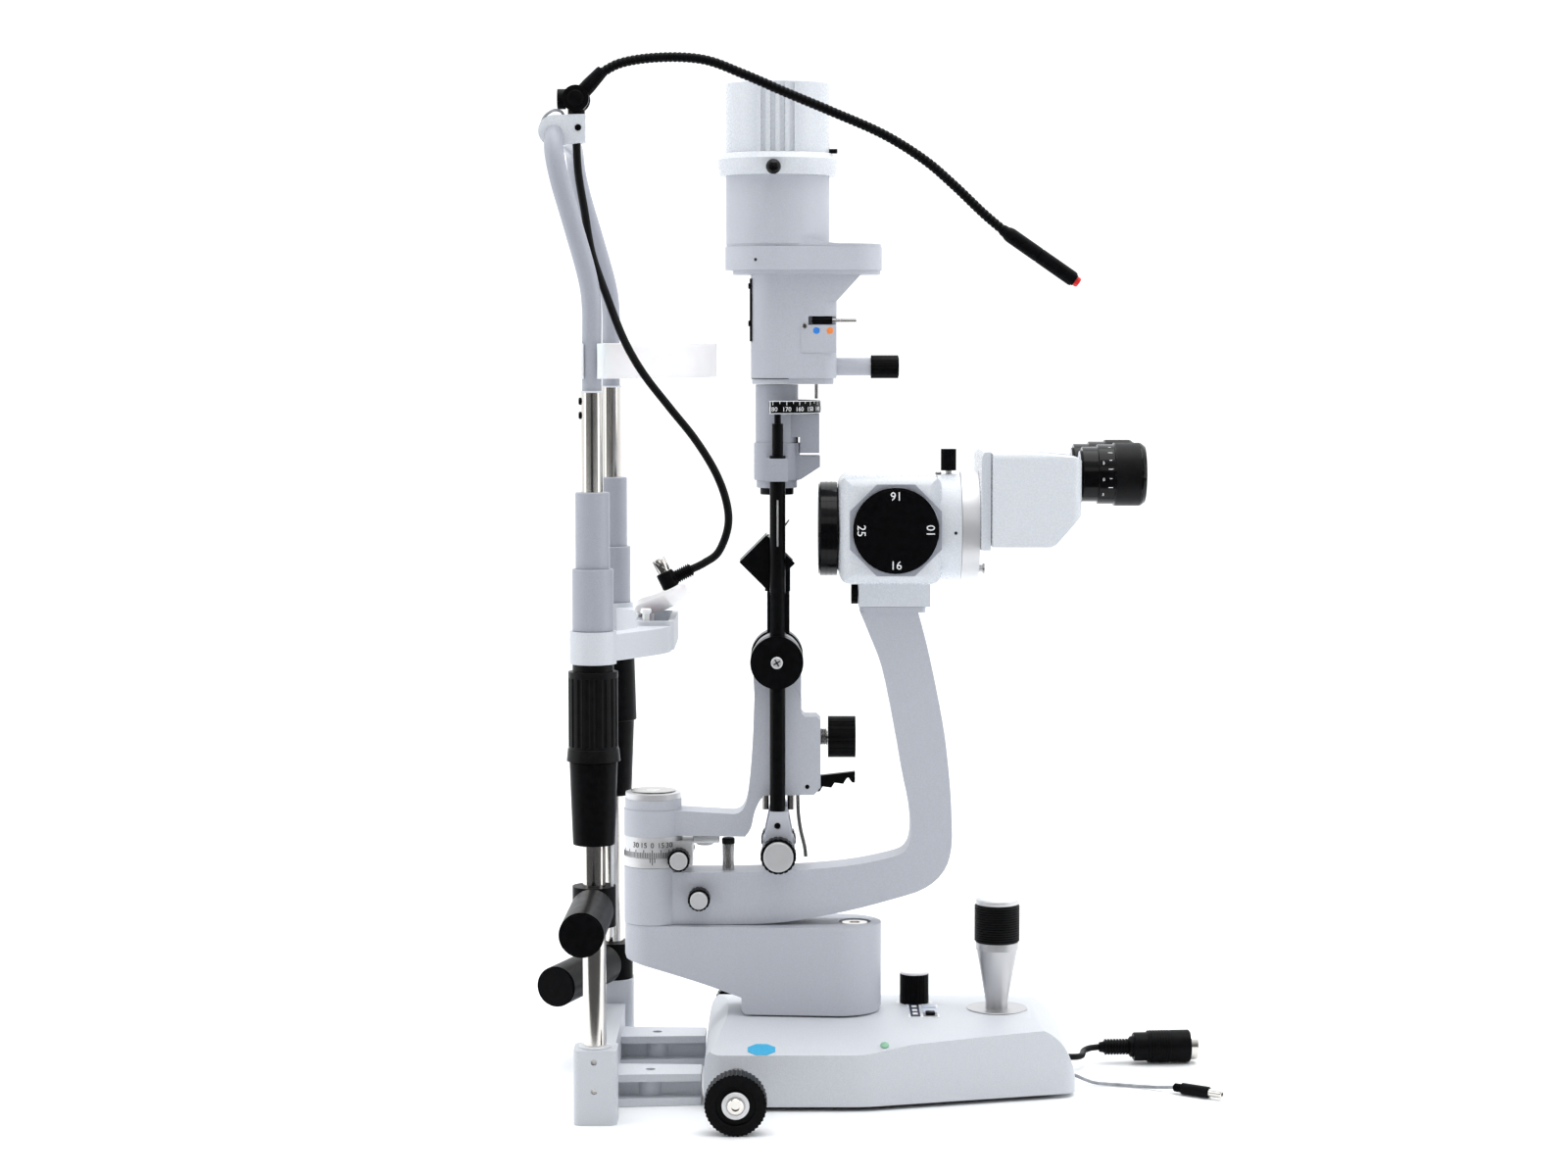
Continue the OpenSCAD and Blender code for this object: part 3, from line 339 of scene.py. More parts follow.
def rounded_disc(r, h, edge, h0=0.0):
    """Profile of a disc with a rounded upper edge, from h0 up to h0 + h."""
    arc = [(r - edge + edge * math.cos(a), h0 + h - edge + edge * math.sin(a))
           for a in (math.radians(15 * i) for i in range(7))]
    return [(0, h0), (r, h0)] + arc + [(0, h0 + h)]


def cube(bm, place, size):
    """A block of that size in metres about the origin of place; returns its vertices."""
    return bmesh.ops.create_cube(bm, size=1, matrix=place @ Matrix.Diagonal((*size, 1)))["verts"]


def soften(bm, edges, width):
    bmesh.ops.bevel(bm, geom=edges, offset=width * MM, segments=2, affect="EDGES", profile=0.5)


def bevelled_box(bm, low, high, edge):
    """A box between two corners with rounded edges."""
    verts = cube(bm, Matrix.Translation((low + high) / 2), high - low)
    soften(bm, list({e for v in verts for e in v.link_edges}), edge)


def box_piece(name, body, material, low, high, edge):
    bm = bmesh.new()
    bevelled_box(bm, low, high, edge)
    return piece_from(name, bm, body, material)


def spline_points(points, steps):
    """The smooth curve that part.scad sweeps: Catmull-Rom through the points."""
    p = [Vector(q) for q in points]
    out = []
    for i in range(len(p) - 1):
        a, b, c, d = p[max(i - 1, 0)], p[i], p[i + 1], p[min(i + 2, len(p) - 1)]
        for j in range(steps):
            t = j / steps
            out.append(0.5 * (2 * b + (c - a) * t + (2 * a - 5 * b + 4 * c - d) * t * t
                              + (3 * b - a - 3 * c + d) * t ** 3))
    return out + [p[-1]]


def route_length(points):
    return sum((b - a).length for a, b in zip(points, points[1:]))


def wall(bm, low, high):
    """Faces between two closed loops with equally many vertices."""
    for i in range(len(low)):
        j = (i + 1) % len(low)
        bm.faces.new((low[i], low[j], high[j], high[i]))


def slab(bm, low, high):
    """A closed solid between two loops of points."""
    low = [bm.verts.new(p) for p in low]
    high = [bm.verts.new(p) for p in high]
    bm.faces.new(low[::-1])
    bm.faces.new(high)
    wall(bm, low, high)


def sweep(bm, points, radius, sides):
    """A tube along the points, closed at both ends. radius is a number or a function of the index."""
    size = radius if callable(radius) else (lambda i: radius)
    tangents = [(points[min(i + 1, len(points) - 1)] - points[max(i - 1, 0)]).normalized()
                for i in range(len(points))]
    side = tangents[0].orthogonal().normalized()
    rings = []
    for i, (p, t) in enumerate(zip(points, tangents)):
        side = (side - t * side.dot(t)).normalized()
        up = t.cross(side)
        rings.append([bm.verts.new(p + size(i) * MM * (math.cos(a) * side + math.sin(a) * up))
                      for a in circle_of(sides)])
    for low, high in zip(rings, rings[1:]):
        wall(bm, low, high)
    bm.faces.new(rings[0][::-1])
    bm.faces.new(rings[-1])


def tube_piece(name, body, material, points, radius, sides):
    bm = bmesh.new()
    sweep(bm, points, radius, sides)
    return piece_from(name, bm, body, material)


def prism(bm, outline, origin, normal, thick, right):
    """Extrudes the 2D outline, drawn on the plane with that normal, by thick along the normal."""
    z = Vector(normal).normalized()
    x = Vector(right).normalized()
    y = z.cross(x)
    low = [origin + (u * x + v * y) * MM for u, v in outline]
    slab(bm, low, [p + z * thick * MM for p in low])


def plate(name, body, material, outline, origin, normal, thick):
    bm = bmesh.new()
    prism(bm, outline, origin, normal, thick, (1, 0, 0))
    return piece_from(name, bm, body, material)


def circle_of(count):
    return (2 * math.pi * i / count for i in range(count))


def octagon(across, along):
    """Eight corners with flats at the sides, on an ellipse with these half axes."""
    return [(across * math.cos(a + math.pi / 8), along * math.sin(a + math.pi / 8)) for a in circle_of(8)]


def screw(name, body, origin, axis, r, h=0.8, cross=False):
    """Round screw head with a hexagon socket or a cross slot, standing on origin; the cross slot is two thin
    black bars, painted shade in the recess.
    """
    bm = bmesh.new()
    rim, hexagon = r * 0.82, r * 0.5
    if cross:
        lathe(bm, [(0, 0), (r, 0), (r, h * 0.5), (rim, h), (0, h)], origin, axis, 24)
        # the cross slot is not cut: two thin black bars stand for it, painted shade in the recess
        for turn in (35, 125):
            place = frame_at(origin, axis) @ Matrix.Rotation(math.radians(turn), 4, "Z")
            verts = cube(bm, place @ Matrix.Translation(mm(0, 0, h)), mm(r * 1.3, r * 0.2, h * 0.2))
            for face in {f for v in verts for f in v.link_faces}:
                face.material_index = 1
    else:
        floor = h * 0.2
        lathe(bm, [(0, 0), (r, 0), (r, h * 0.6), (rim, h), (hexagon, h), (hexagon * 0.95, floor), (0, floor)],
              origin, axis, 24)
    obj = piece_from(name, bm, body, None)
    obj.data.materials.append(MAT["steel" if cross else "black_metal"])
    obj.data.materials.append(MAT["black_ink"])
    return obj


def digits(name, body, material, text, size, origin, normal, up):
    """Number marks on a dial, from the built-in font, as a thin raised mesh."""
    curve = configure(bpy.data.curves.new(name, "FONT"), body=text, size=size * MM, align_x="CENTER",
                      align_y="CENTER", extrude=0.12 * MM, resolution_u=3)
    holder = add_object(name + "_font", curve)
    bpy.context.view_layer.update()
    mesh = bpy.data.meshes.new_from_object(holder.evaluated_get(bpy.context.evaluated_depsgraph_get()))
    bpy.data.objects.remove(holder)
    bpy.data.curves.remove(curve)
    z = Vector(normal).normalized()
    y = (Vector(up) - z * Vector(up).dot(z)).normalized()
    x = y.cross(z)
    turn = Matrix((x, y, z)).transposed().to_4x4()
    mesh.transform(Matrix.Translation(origin) @ turn)
    return finish_piece(add_object(name, mesh), body, material)


# ---------------------------------------------------------------- camera and cords
def make_camera():
    """A level-held camera 2.2 m away on the near side, tipped a little down."""
    tip = math.radians(4.4)
    lens = configure(bpy.data.cameras.new("camera"), lens=74.16, sensor_width=36)
    bpy.context.scene.camera = configure(add_object("camera", lens), location=(0.0888, -2.178, 0.5053),
                                         rotation_euler=(math.pi / 2 - tip, 0, 0))


make_camera()

FIXATION_ROUTE = mms([
    (-44, -95, 631), (-43, -95, 612), (-39, -98, 588), (-34, -101, 560), (-24, -108, 532),
    (-13, -116, 505), (-1, -118, 484), (16, -118, 462), (32, -118, 442), (45, -118, 421),
    (52, -118, 402), (53, -118, 386), (47, -118, 370), (38, -118, 363), (30, -118, 359)])
POWER_ROUTE = mms([
    (284.2, 30, 9.5), (286.2, 30, 9.4), (291.5, 31.4, 9.1), (295.4, 35.3, 9), (296.9, 41, 9.3),
    (298.3, 46.7, 10), (302.2, 50.6, 10.8), (307.5, 52, 11.3), (309, 52.1, 11.4)])
DC_ROUTE = mms([
    (284.2, -14, 7), (285.6, -14, 6.9), (289, -14.3, 5.6), (294, -15, 3.6), (301, -16, 1.7),
    (315, -19, 1.3), (330, -24, 1.3), (342, -31, 2.2), (351, -38, 4)])


def cord_curve(name, body, route, radius, material, node):
    """A round cord that follows the route of the CAD node it stands for, and the cord's length."""
    points = spline_points(route, 8)
    curve = configure(bpy.data.curves.new(name, "CURVE"), dimensions="3D",
                      bevel_depth=radius * MM, bevel_resolution=5, use_fill_caps=True)
    line = curve.splines.new("POLY")
    line.points.add(len(points) - 1)
    for place, p in zip(line.points, points):
        place.co = (*p, 1)
    line.use_smooth = True
    obj = finish_piece(add_object(name, curve), body, material)
    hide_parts(node)
    return obj, route_length(points)


def plug_frame(end, turn_axis, angle):
    """Where a plug stands: the matrix from its own axes to the frame."""
    return Matrix.Translation(end) @ Matrix.Rotation(math.radians(angle), 4, turn_axis)


def lathe_along_x(bm, profile, place, sides=32):
    """Turns (x, radius) pairs about the local X axis of place."""
    axis = place.to_3x3() @ Vector((1, 0, 0))
    lathe(bm, [(r, x) for x, r in profile], place.translation, axis, sides)


def plug_part(name, material, profile, place, sides):
    """One turned part of a plug that rides on the base."""
    bm = bmesh.new()
    lathe_along_x(bm, profile, place, sides)
    return piece_from(name, bm, "base", material)


def ribbed(x0, x1, count, low, high):
    """Ring grooves between x0 and x1: (x, radius) pairs."""
    out = []
    for i in range(count):
        a = x0 + (x1 - x0) * i / count
        b = x0 + (x1 - x0) * (i + 0.55) / count
        out += [(a, low), (a + 0.12, high), (b, high), (b + 0.12, low)]
    return out


def make_cord_plug():
    """Right-angle plug: ribbed sleeve, black elbow, and the knurled silver collar that points up."""
    place = plug_frame(FIXATION_ROUTE[-1], "Y", -26)
    bm = bmesh.new()
    lathe_along_x(bm, [(0, 2.7), (-0.3, 3.5)] + [(-x, r) for x, r in ribbed(0.8, 11, 7, 3.5, 4.3)]
                  + [(-11.4, 4.4), (-15, 4.4)], place)
    up = place.to_3x3() @ Vector((0, 0, 1))
    post = place @ mm(-17, 0, 0)
    lathe(bm, [(0, -5), (4.6, -5), (5.6, -4.2), (5.6, 5.2), (5, 6), (0, 6)], post, up, 40)
    elbow = piece_from("plug_body", bm, "headrest", "black_plastic")
    knurl = lambda a, h: 1 + (0.025 * math.cos(24 * a) if 8 < h < 13.5 else 0)
    sleeve = [(4.2, 6), (4.2, 7.2), (4.5, 7.8), (4.5, 14.5), (4.2, 15), (3.6, 15), (3.6, 12.5), (0, 12.5)]
    collar = turned("plug_collar", "headrest", "chrome", sleeve, post, up, 96, "satin_metal", knurl)
    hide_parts("cord_plug")
    return [elbow, collar]


def make_power_connector():
    """Tapered sleeve with grooves, ribbed shell and the bright end shell with its recess."""
    place = plug_frame(mm(309.15, 52.1, 11.4), "Z", 4)
    shell = [(0, 2.4), (0.2, 3.4), (3, 3.9)] + ribbed(4, 21, 8, 4.6, 5.6)
    shell += [(22, 7.2), (24, 7.5), (24.2, 9.2), (25, 10), (33.6, 10), (34, 10.6), (34.6, 11.3)]
    shell += ribbed(36, 50, 7, 10.9, 11.3) + [(51, 11.3), (63.4, 11.3), (64, 10.6), (64.1, 6)]
    body = plug_part("connector_body", "black_plastic", shell, place, 48)
    end = [(63.8, 9.6), (68.7, 9.6), (69, 9.2), (69, 8.6), (65, 8.5), (65, 0)]
    tip = plug_part("connector_shell", "chrome", end, place, 48)
    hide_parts("power_connector")
    return [body, tip]


def make_dc_plug():
    """Barrel plug with a ribbed sleeve."""
    place = plug_frame(DC_ROUTE[-1], "Z", -36)
    shell = [(0, 1.3), (0.1, 2)] + ribbed(0.8, 5.6, 4, 2.2, 2.9)
    shell += [(6, 3.2), (6.6, 3.9), (26.2, 3.9), (27, 3.3), (27, 0)]
    body = plug_part("dc_plug_body", "black_plastic", shell, place, 32)
    end = [(26.8, 2.75), (36.2, 2.75), (36.5, 2.5), (36.5, 1.3), (31, 1.3), (31, 0)]
    barrel = plug_part("dc_plug_barrel_piece", "chrome", end, place, 32)
    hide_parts("dc_plug")
    return [body, barrel]


def make_cords():
    specs = [
        ("fixation_cord_curve", "headrest", FIXATION_ROUTE, 2.6, "cable", "fixation_cord", make_cord_plug,
         "medium", "hanging", "plug"),
        ("power_cable_curve", "base", POWER_ROUTE, 2.25, "cable", "power_cable", make_power_connector,
         "medium", "loose", "connector"),
        ("dc_lead_curve", "base", DC_ROUTE, 1.15, "grey_cable", "dc_lead", make_dc_plug,
         "limp", "loose", "plug")]
    for name, body, route, r, material, node, make_end, stiffness, lay, end in specs:
        obj, length = cord_curve(name, body, route, r, material, node)
        ends = make_end()


make_cords()


# ---------------------------------------------------------------- finishes of the CAD nodes
def dress(node, material, bevel):
    """One finish for a CAD node; bevel rounds its sharp edges by that many millimetres."""
    obj = nodes[node]
    obj.data.materials.clear()
    obj.data.materials.append(MAT[material])
    obj.data.polygons.foreach_set("material_index", [0] * len(obj.data.polygons))
    if bevel:
        configure(obj.modifiers.new("weld", "WELD"), merge_threshold=0.00002)
        configure(obj.modifiers.new("edge", "BEVEL"), width=bevel * MM, segments=2, limit_method="ANGLE",
                  angle_limit=math.radians(38), harden_normals=False, use_clamp_overlap=True)
        configure(obj.modifiers.new("normals", "WEIGHTED_NORMAL"), keep_sharp=False)


def faces(node, material, test):
    """The faces of a CAD node whose middle, in millimetres, and normal pass the test get another finish."""
    obj = nodes[node]
    obj.data.materials.append(MAT[material])
    index = len(obj.data.materials) - 1
    for poly in obj.data.polygons:
        if test(poly.center / MM, poly.normal):
            poly.material_index = index


# the material of each CAD node, and the bevel of its edges
FINISHES = {
    "paint": {"table_bracket": 0.9, "chin_arm": 0.9, "base_cover": 1.2},
    # The darker copy of the paint on these nodes is painted shade.
    "arm_paint": {"bearing_block": 1.1, "microscope_arm": 1.6, "illumination_arm": 1.0, "gearbox": 0.6,
                  "head_body": 0.8, "lamp_drum": 0.8},
    # The lighter copy of the paint on these nodes is painted light; their lower roughness is the gloss.
    "gloss_paint": {"lamp_cover": 0.5, "microscope_body": 1.0, "near_housing": 1.0, "far_housing": 1.0},
    # The darkest copy of the paint on these nodes is painted shade.
    "shade_paint": {"guide_sleeves": 0.8, "sliding_sleeves": 0.8, "upper_frame": 0, "tower_neck": 0.6,
                    "filter_pocket": 0.6},
    "black_plastic": {"lower_sleeves": 0.7, "near_handle": 1.0, "far_handle": 1.0, "fixation_handle": 0,
                      "wheels": 0.25, "base_plate": 0, "brightness_knob": 0.3, "arm_lock_knob": 0.25,
                      "lamp_lock_knob": 0.25, "slit_width_knobs": 0.3, "centering_knob": 0.3,
                      "filter_lever": 0.3, "aperture_knob": 0.3, "mount_knob": 0.3, "top_knob": 0.3},
    "black_metal": {"lamp_knuckle": 0.6, "gooseneck": 0, "tower_rods": 0.5, "slit_mirror": 0.4,
                    "angle_scale": 0.2, "tilt_latch": 0.3},
    "black_gloss": {"objective_ring": 0.5, "magnification_drum": 0.5, "near_eyepiece": 0.4,
                    "far_eyepiece": 0.4},
    "grip": {"height_grip": 0.4},
    "rubber": {"joystick_grip": 0},
    "chrome": {"column_tubes": 0, "guide_posts": 0.5},
    "steel": {"cross_axle": 0.5},
    "satin": {"joystick_ball": 0, "degree_ring": 0.3, "binocular_ring": 0.4},
    "stem": {"joystick_stem": 0.5},
    "cup": {"chin_cup": 0.4},
    "strap": {"forehead_band": 0}}

for _material, _bevels in FINISHES.items():
    for _node, _bevel in _bevels.items():
        dress(_node, _material, _bevel)


def around(axis, u, v, low, high, r):
    """A test: the face lies in a cylinder along the axis, from low to high, round the point (u, v)."""
    across = [k for k in (0, 1, 2) if k != axis]
    return lambda c, n: (math.hypot(c[across[0]] - u, c[across[1]] - v) <= r and low <= c[axis] <= high)


def colour_cad_faces():
    x, y, z = 0, 1, 2
    for node, material, axis, *cylinder in (
            ("arm_lock_knob", "satin", y, 31.5, 129, -32, -27.4, 6.1),
            ("arm_lock_knob", "steel", y, 31.5, 129, -16.6, -8, 2.7),
            ("lamp_lock_knob", "satin", y, 18, 156, -31, -28.4, 6.1),
            ("lamp_lock_knob", "steel", y, 18, 156, -17.6, -9, 2.7),
            ("centering_knob", "steel", x, 0, 236.6, 99, 118.5, 4.1),
            ("aperture_knob", "steel", x, 0, 487, 130, 147.1, 2.6),
            ("filter_lever", "steel", x, -16.4, 518, 121.01, 138, 1.4),
            ("mount_knob", "steel", x, 0, 333.7, 138.8, 160, 2.2),
            ("top_knob", "steel", z, 199.7, 0, 400, 417.2, 2.1),
            ("bearing_block", "chrome", z, 137, 0, 107, 109.5, 8.75),
            ("head_body", "steel", z, 110.7, 0, 465, 475.4, 1.5)):
        faces(node, material, around(axis, *cylinder))
    shaft = lambda c: math.hypot(c.x - 85, c.z - 161)
    faces("slit_width_knobs", "satin", lambda c, n: abs(c.y) > 42.2 and shaft(c) < 10.2)
    faces("slit_width_knobs", "steel", lambda c, n: abs(c.y) < 31.4 and shaft(c) < 3.2)
    faces("lamp_cover", "black_gloss", lambda c, n: c.z < 624 and math.hypot(c.x - 84.6, c.y) > 40.2)
    faces("lamp_cover", "black_metal", lambda c, n: 628.8 < c.z < 632.2 and c.x - 84.6 > 35.6)
    faces("degree_ring", "turned", lambda c, n: c.z > 194)
    for _, tag in SIDES:
        faces(f"{tag}_housing", "black_metal", lambda c, n: c.x > 285.2)
    faces("slit_mirror", "chrome", lambda c, n: n.x > 0.6 and n.z > 0.6 and c.z > 340)


colour_cad_faces()


# ---------------------------------------------------------------- pieces that stand for plain CAD shapes
def make_upper_frame():
    """Bent painted tube across the head rest and the block that holds the fixation lamp."""
    half = [(-33.7, -115, 472.05), (-33.7, -115, 500), (-33.7, -115, 526), (-36.5, -115, 546),
            (-46, -115, 580), (-53, -115, 604), (-57, -112, 622), (-58, -102, 635), (-58, -85, 638),
            (-58, -45, 638)]
    other = [(x, -y, z) for x, y, z in reversed(half)]
    # the frame tube takes the darkest copy of the paint: painted shade
    tube = tube_piece("frame_tube", "headrest", "shade_paint", spline_points(mms(half + other), 8), 6.25, 40)
    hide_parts("upper_frame")
    bm = bmesh.new()
    nose = [tuple(polar(angle, 10).xy) for angle in range(90, 271, 12)]
    prism(bm, [(20, 10.7)] + nose + [(6, -9), (20, -7)], mm(-58, -87, 638), (0, -1, 0), 16, (1, 0, 0))
    soften(bm, [e for e in bm.edges if e.calc_face_angle(0) > 0.7], 0.9)
    # lighter copy of the paint: painted light
    piece_from("lamp_holder", bm, "headrest", "gloss_paint")


def make_strap():
    """Forehead strap: a soft band across the columns, wrapped round each of them and slightly wavy."""
    bend_r, half_angle, front_x = 128.6, 61, 44
    wrap_r, thick, rows = 8.1, 1.8, 9
    low_z, height, wave = 480.3, 22.4, 0.6
    wraps = []
    for s, _ in SIDES:
        turns = [polar(-58 + 285 * i / 14, wrap_r * MM) for i in range(15)]
        wraps.append([Vector((COLUMN_X + t.x, s * (COLUMN_Y - t.y), 0)) for t in turns])
    middle = mm(front_x - bend_r, 0, 0)
    bend = [middle + polar(half_angle * (-1 + i / 30), (bend_r - 1.2) * MM) for i in range(61)]
    line = wraps[0][::-1] + bend + wraps[1]
    bm = bmesh.new()
    grid = []
    for i, place in enumerate(line):
        along = line[min(i + 1, len(line) - 1)] - line[max(i - 1, 0)]
        out = Vector((along.y, -along.x, 0)).normalized()
        column = []
        for k in range(rows):
            t = k / (rows - 1)
            bulge = wave * math.sin(math.pi * t) * math.sin(0.21 * i)
            column.append(bm.verts.new(place + mm(0, 0, low_z + height * t) + out * bulge * MM))
        grid.append(column)
    for a, b in zip(grid, grid[1:]):
        for k in range(rows - 1):
            bm.faces.new((a[k], b[k], b[k + 1], a[k + 1]))
    strap = piece_from("forehead_strap", bm, "headrest", "strap")
    configure(strap.modifiers.new("thick", "SOLIDIFY"), thickness=thick * MM, offset=0)
    configure(strap.modifiers.new("edge", "BEVEL"), width=0.4 * MM, segments=2)
    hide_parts("forehead_band")


NECK_PIVOT = mm(-44, -95, 658.5)
NECK_ROUTE = mms([(-33, -95, 671.5), (-16, -96.5, 681), (10, -100, 684.5), (38, -100, 683),
                  (63, -100, 674), (88.7, -100, 663), (120, -100, 650), (152, -100, 636), (178, -100, 620),
                  (197, -100, 604), (216, -100, 586), (229, -100, 575)])


def even_points(points, spacing):
    """Points along a polyline at an even spacing in metres."""
    out, carry = [points[0]], 0.0
    for a, b in zip(points, points[1:]):
        length = (b - a).length
        at = spacing - carry
        while at <= length:
            out.append(a.lerp(b, at / length))
            at += spacing
        carry = (carry + length) % spacing
    return out + [points[-1]]


def make_gooseneck():
    """Spirally wound flexible arm with its root ferrule and pivot eye."""
    line = even_points(spline_points(NECK_ROUTE, 14), 0.0005)
    wound = lambda i: 3.25 - 0.42 * (0.5 + 0.5 * math.cos(2 * math.pi * i / 6)) ** 2
    arm = tube_piece("flexible_arm", "fixation_arm", "black_metal", line, wound, 14)
    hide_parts("gooseneck")
    bm = bmesh.new()
    lean = math.radians(43)
    lathe(bm, [(0, 0.4), (4.9, 0.6), (4.9, 12), (4.1, 23.6), (3.6, 25), (0, 25)], NECK_PIVOT,
          (math.sin(lean), 0, math.cos(lean)), 40)
    lathe(bm, rounded_disc(6.5, 9.8, 1, -4.9), NECK_PIVOT, (0, 1, 0), 48)
    piece_from("flexible_arm_root", bm, "fixation_arm", "black_plastic")


def make_lamp_handle():
    """Two-part grip of the fixation lamp with a seam and the red tip."""
    start, end = NECK_ROUTE[-1], mm(278, -100, 541)
    axis, length = end - start, (end - start).length / MM
    seam = length * 0.47
    profile = [(0, -0.6), (3.6, -0.6), (3.8, 2), (4.6, 4), (4.9, 6), (4.9, seam - 0.4), (4.5, seam),
               (4.9, seam + 0.4), (4.9, length - 6), (4.6, length - 4.5), (3.9, length - 4.2),
               (3.9, length - 3.4), (0, length - 3.4)]
    grip = turned("lamp_grip", "fixation_arm", "black_plastic", profile, start, axis, 32, "black_plastic")
    tip = [(3.4, length - 3.6), (3.4, length - 1.4), (2.8, length - 0.4), (0, length)]
    turned("lamp_tip", "fixation_arm", "red", tip, start, axis, 24, "black_plastic")
    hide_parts("fixation_handle")


def make_joystick_grip():
    """Rubber grip with close turned rings under a bright domed cap."""
    origin = (STICK.x, STICK.y, 0)
    z0, z1, count = 96.7, 121.5, 15
    step = (z1 - z0) / count
    rings = []
    for i in range(count):
        a = z0 + step * i
        rings += [(14.62, a), (15.45, a + step * 0.2), (15.45, a + step * 0.62), (14.62, a + step * 0.82)]
    profile = [(0, 96.2), (14.4, 96.2)] + rings + [(14.8, 121.7), (14.8, 121.9), (0, 121.9)]
    grip = turned("stick_grip", "joystick_grip", "rubber", profile, origin, sides=72, slot="rubber")
    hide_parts("joystick_grip")
    crown = [(14.5 * math.cos(a), 124.6 + 3.4 * math.sin(a))
             for a in (math.radians(12 * i) for i in range(1, 8))]
    dome = [(0, 121.7), (14.2, 121.7), (14.5, 122.2), (14.5, 124.6)] + crown + [(0, 128)]
    turned("stick_cap", "joystick_grip", "turned", dome, origin, sides=64, slot="satin_metal")


make_upper_frame()
make_strap()
make_gooseneck()
make_lamp_handle()
make_joystick_grip()


# ---------------------------------------------------------------- marks and small hardware
def knob_cap(name, body, origin, axis, r, material="turned"):
    """Thin turned face on a knob, with a fine chamfer and a shallow dish."""
    profile = [(0, 0), (r - 0.3, 0), (r, 0.1), (r, 0.2), (r - 0.3, 0.4), (r * 0.86, 0.4), (0, 0.2)]
    turned(name, body, material, profile, origin, axis, 48, "satin_metal")


def ring_ticks(name, body, material, centre, r, heights, angles, width):
    """Marks round a vertical cylinder: one thin upright patch, from low to high, per angle in degrees."""
    bm = bmesh.new()
    for angle, (z0, z1) in zip(angles, heights):
        out = polar(angle)
        side = polar(angle + 90, width / 2 * MM)
        base = centre + out * (r * MM)
        corners = [base + side * s + mm(0, 0, z) for s, z in ((-1, z0), (1, z0), (1, z1), (-1, z1))]
        slab(bm, [c - out * 0.0001 for c in corners], [c + out * 0.00008 for c in corners])
    piece_from(name, bm, body, material, smooth=False)


def arc_band(bm, centre, r, heights, lifts, start, end, steps):
    """A thin open band on a vertical cylinder, in steps from one angle to the other; returns its sections."""
    sections = []
    for i in range(steps + 1):
        out = polar(start + (end - start) * i / steps)
        base = centre + out * (r * MM)
        sections.append([bm.verts.new(base + Vector((0, 0, z * MM)) + out * (lift * MM))
                         for z in heights for lift in lifts])
    for a, b in zip(sections, sections[1:]):
        for i, j in ((1, 3), (3, 2), (2, 0), (0, 1)):
            bm.faces.new((a[i], a[j], b[j], b[i]))
    return sections


def make_head_rest_trim():
    """Set screws, tube joints and foot collars of the columns, and the shield strip."""
    for s, tag in SIDES:
        for z in (41, 22):
            turned(f"set_screw_{tag}_{z}", "headrest", "steel",
                   [(0, -1), (1.9, -1), (1.9, 0.8), (1.1, 0.8), (1, 0.1), (0, 0.1)], mm(-33.7, s * 125.4, z),
                   (0, s, 0), 24, "steel")
        for z in (466, 457):
            screw(f"tube_screw_{tag}_{z}", "headrest", mm(-40.6, s * 115, z), (-1, 0, 0), 2.4, 1.6)
        # lighter copy of the paint: painted light
        turned(f"tube_joint_{tag}", "headrest", "gloss_paint", hoop(7.05, 7.4, 471.5, 472.7),
               (COLUMN_X, s * COLUMN_Y, 0), sides=40, slot="frame_paint")
    for s, tag in SIDES:
        collar = [(7.6, 48), (9.8, 48), (10.4, 48.6), (10.4, 49.4), (9.8, 50), (7.8, 50)]
        turned(f"foot_collar_{tag}", "headrest", "trim_paint", collar, (COLUMN_X, s * COLUMN_Y, 0),
               slot="frame_paint")
    # shield strip that hangs behind the near column
    box_piece("column_shield", "headrest", "trim_paint", mm(-22.8, -119, 121), mm(-21.2, -111, 196), 0.3)


def make_knob_caps():
    """Bright faces of the lock knobs and slit knobs, and the pale cap of the brightness knob."""
    knob_cap("arm_lock_cap", "arm_lock_knob", mm(31.5, -29.7, 129), (0, -1, 0), 5.8)
    lamp_lock_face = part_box("lamp_lock_knob")[0].y
    knob_cap("lamp_lock_cap", "lamp_lock_knob", (0.018, lamp_lock_face, 0.156), (0, -1, 0), 5.8)
    for s, tag in SIDES:
        knob_cap(f"slit_cap_{tag}", "slit_width_knobs", mm(85, s * 45.3, 161), (0, s, 0), 9.8)
    cap = [(0, 69.8), (9.3, 69.8), (9.6, 70.2), (9.6, 71.2), (9, 71.8), (0, 72)]
    turned("brightness_cap", "brightness_knob", "cup", cap, mm(178.5, 20, 0), slot="satin_metal")


def make_wheel_trim():
    hub = [(0, -0.6), (8.6, -0.6), (8.8, -0.2), (8.8, 0.3), (8.2, 0.7), (6.2, 0.7), (5.6, 0.2), (0, 0.2)]
    bolt = [(0, 0.1), (5, 0.1), (5.2, 0.6), (5.2, 3.2), (4.6, 3.8), (2.7, 3.8), (2.6, 1.4), (0, 1.4)]
    for (s, tag), corner in zip(SIDES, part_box("wheels")):
        face = (0.058, corner.y, 0.020)
        turned(f"wheel_hub_{tag}", "wheels", "turned", hub, face, (0, s, 0), 48, "satin_metal")
        turned(f"wheel_bolt_{tag}", "wheels", "chrome", bolt, face, (0, s, 0), 32, "steel")


def base_top(x, y):
    """The point of the crowned base top at x and y."""
    crown = 460
    return mm(x, y, 50 - crown + math.sqrt(crown * crown - y * y))


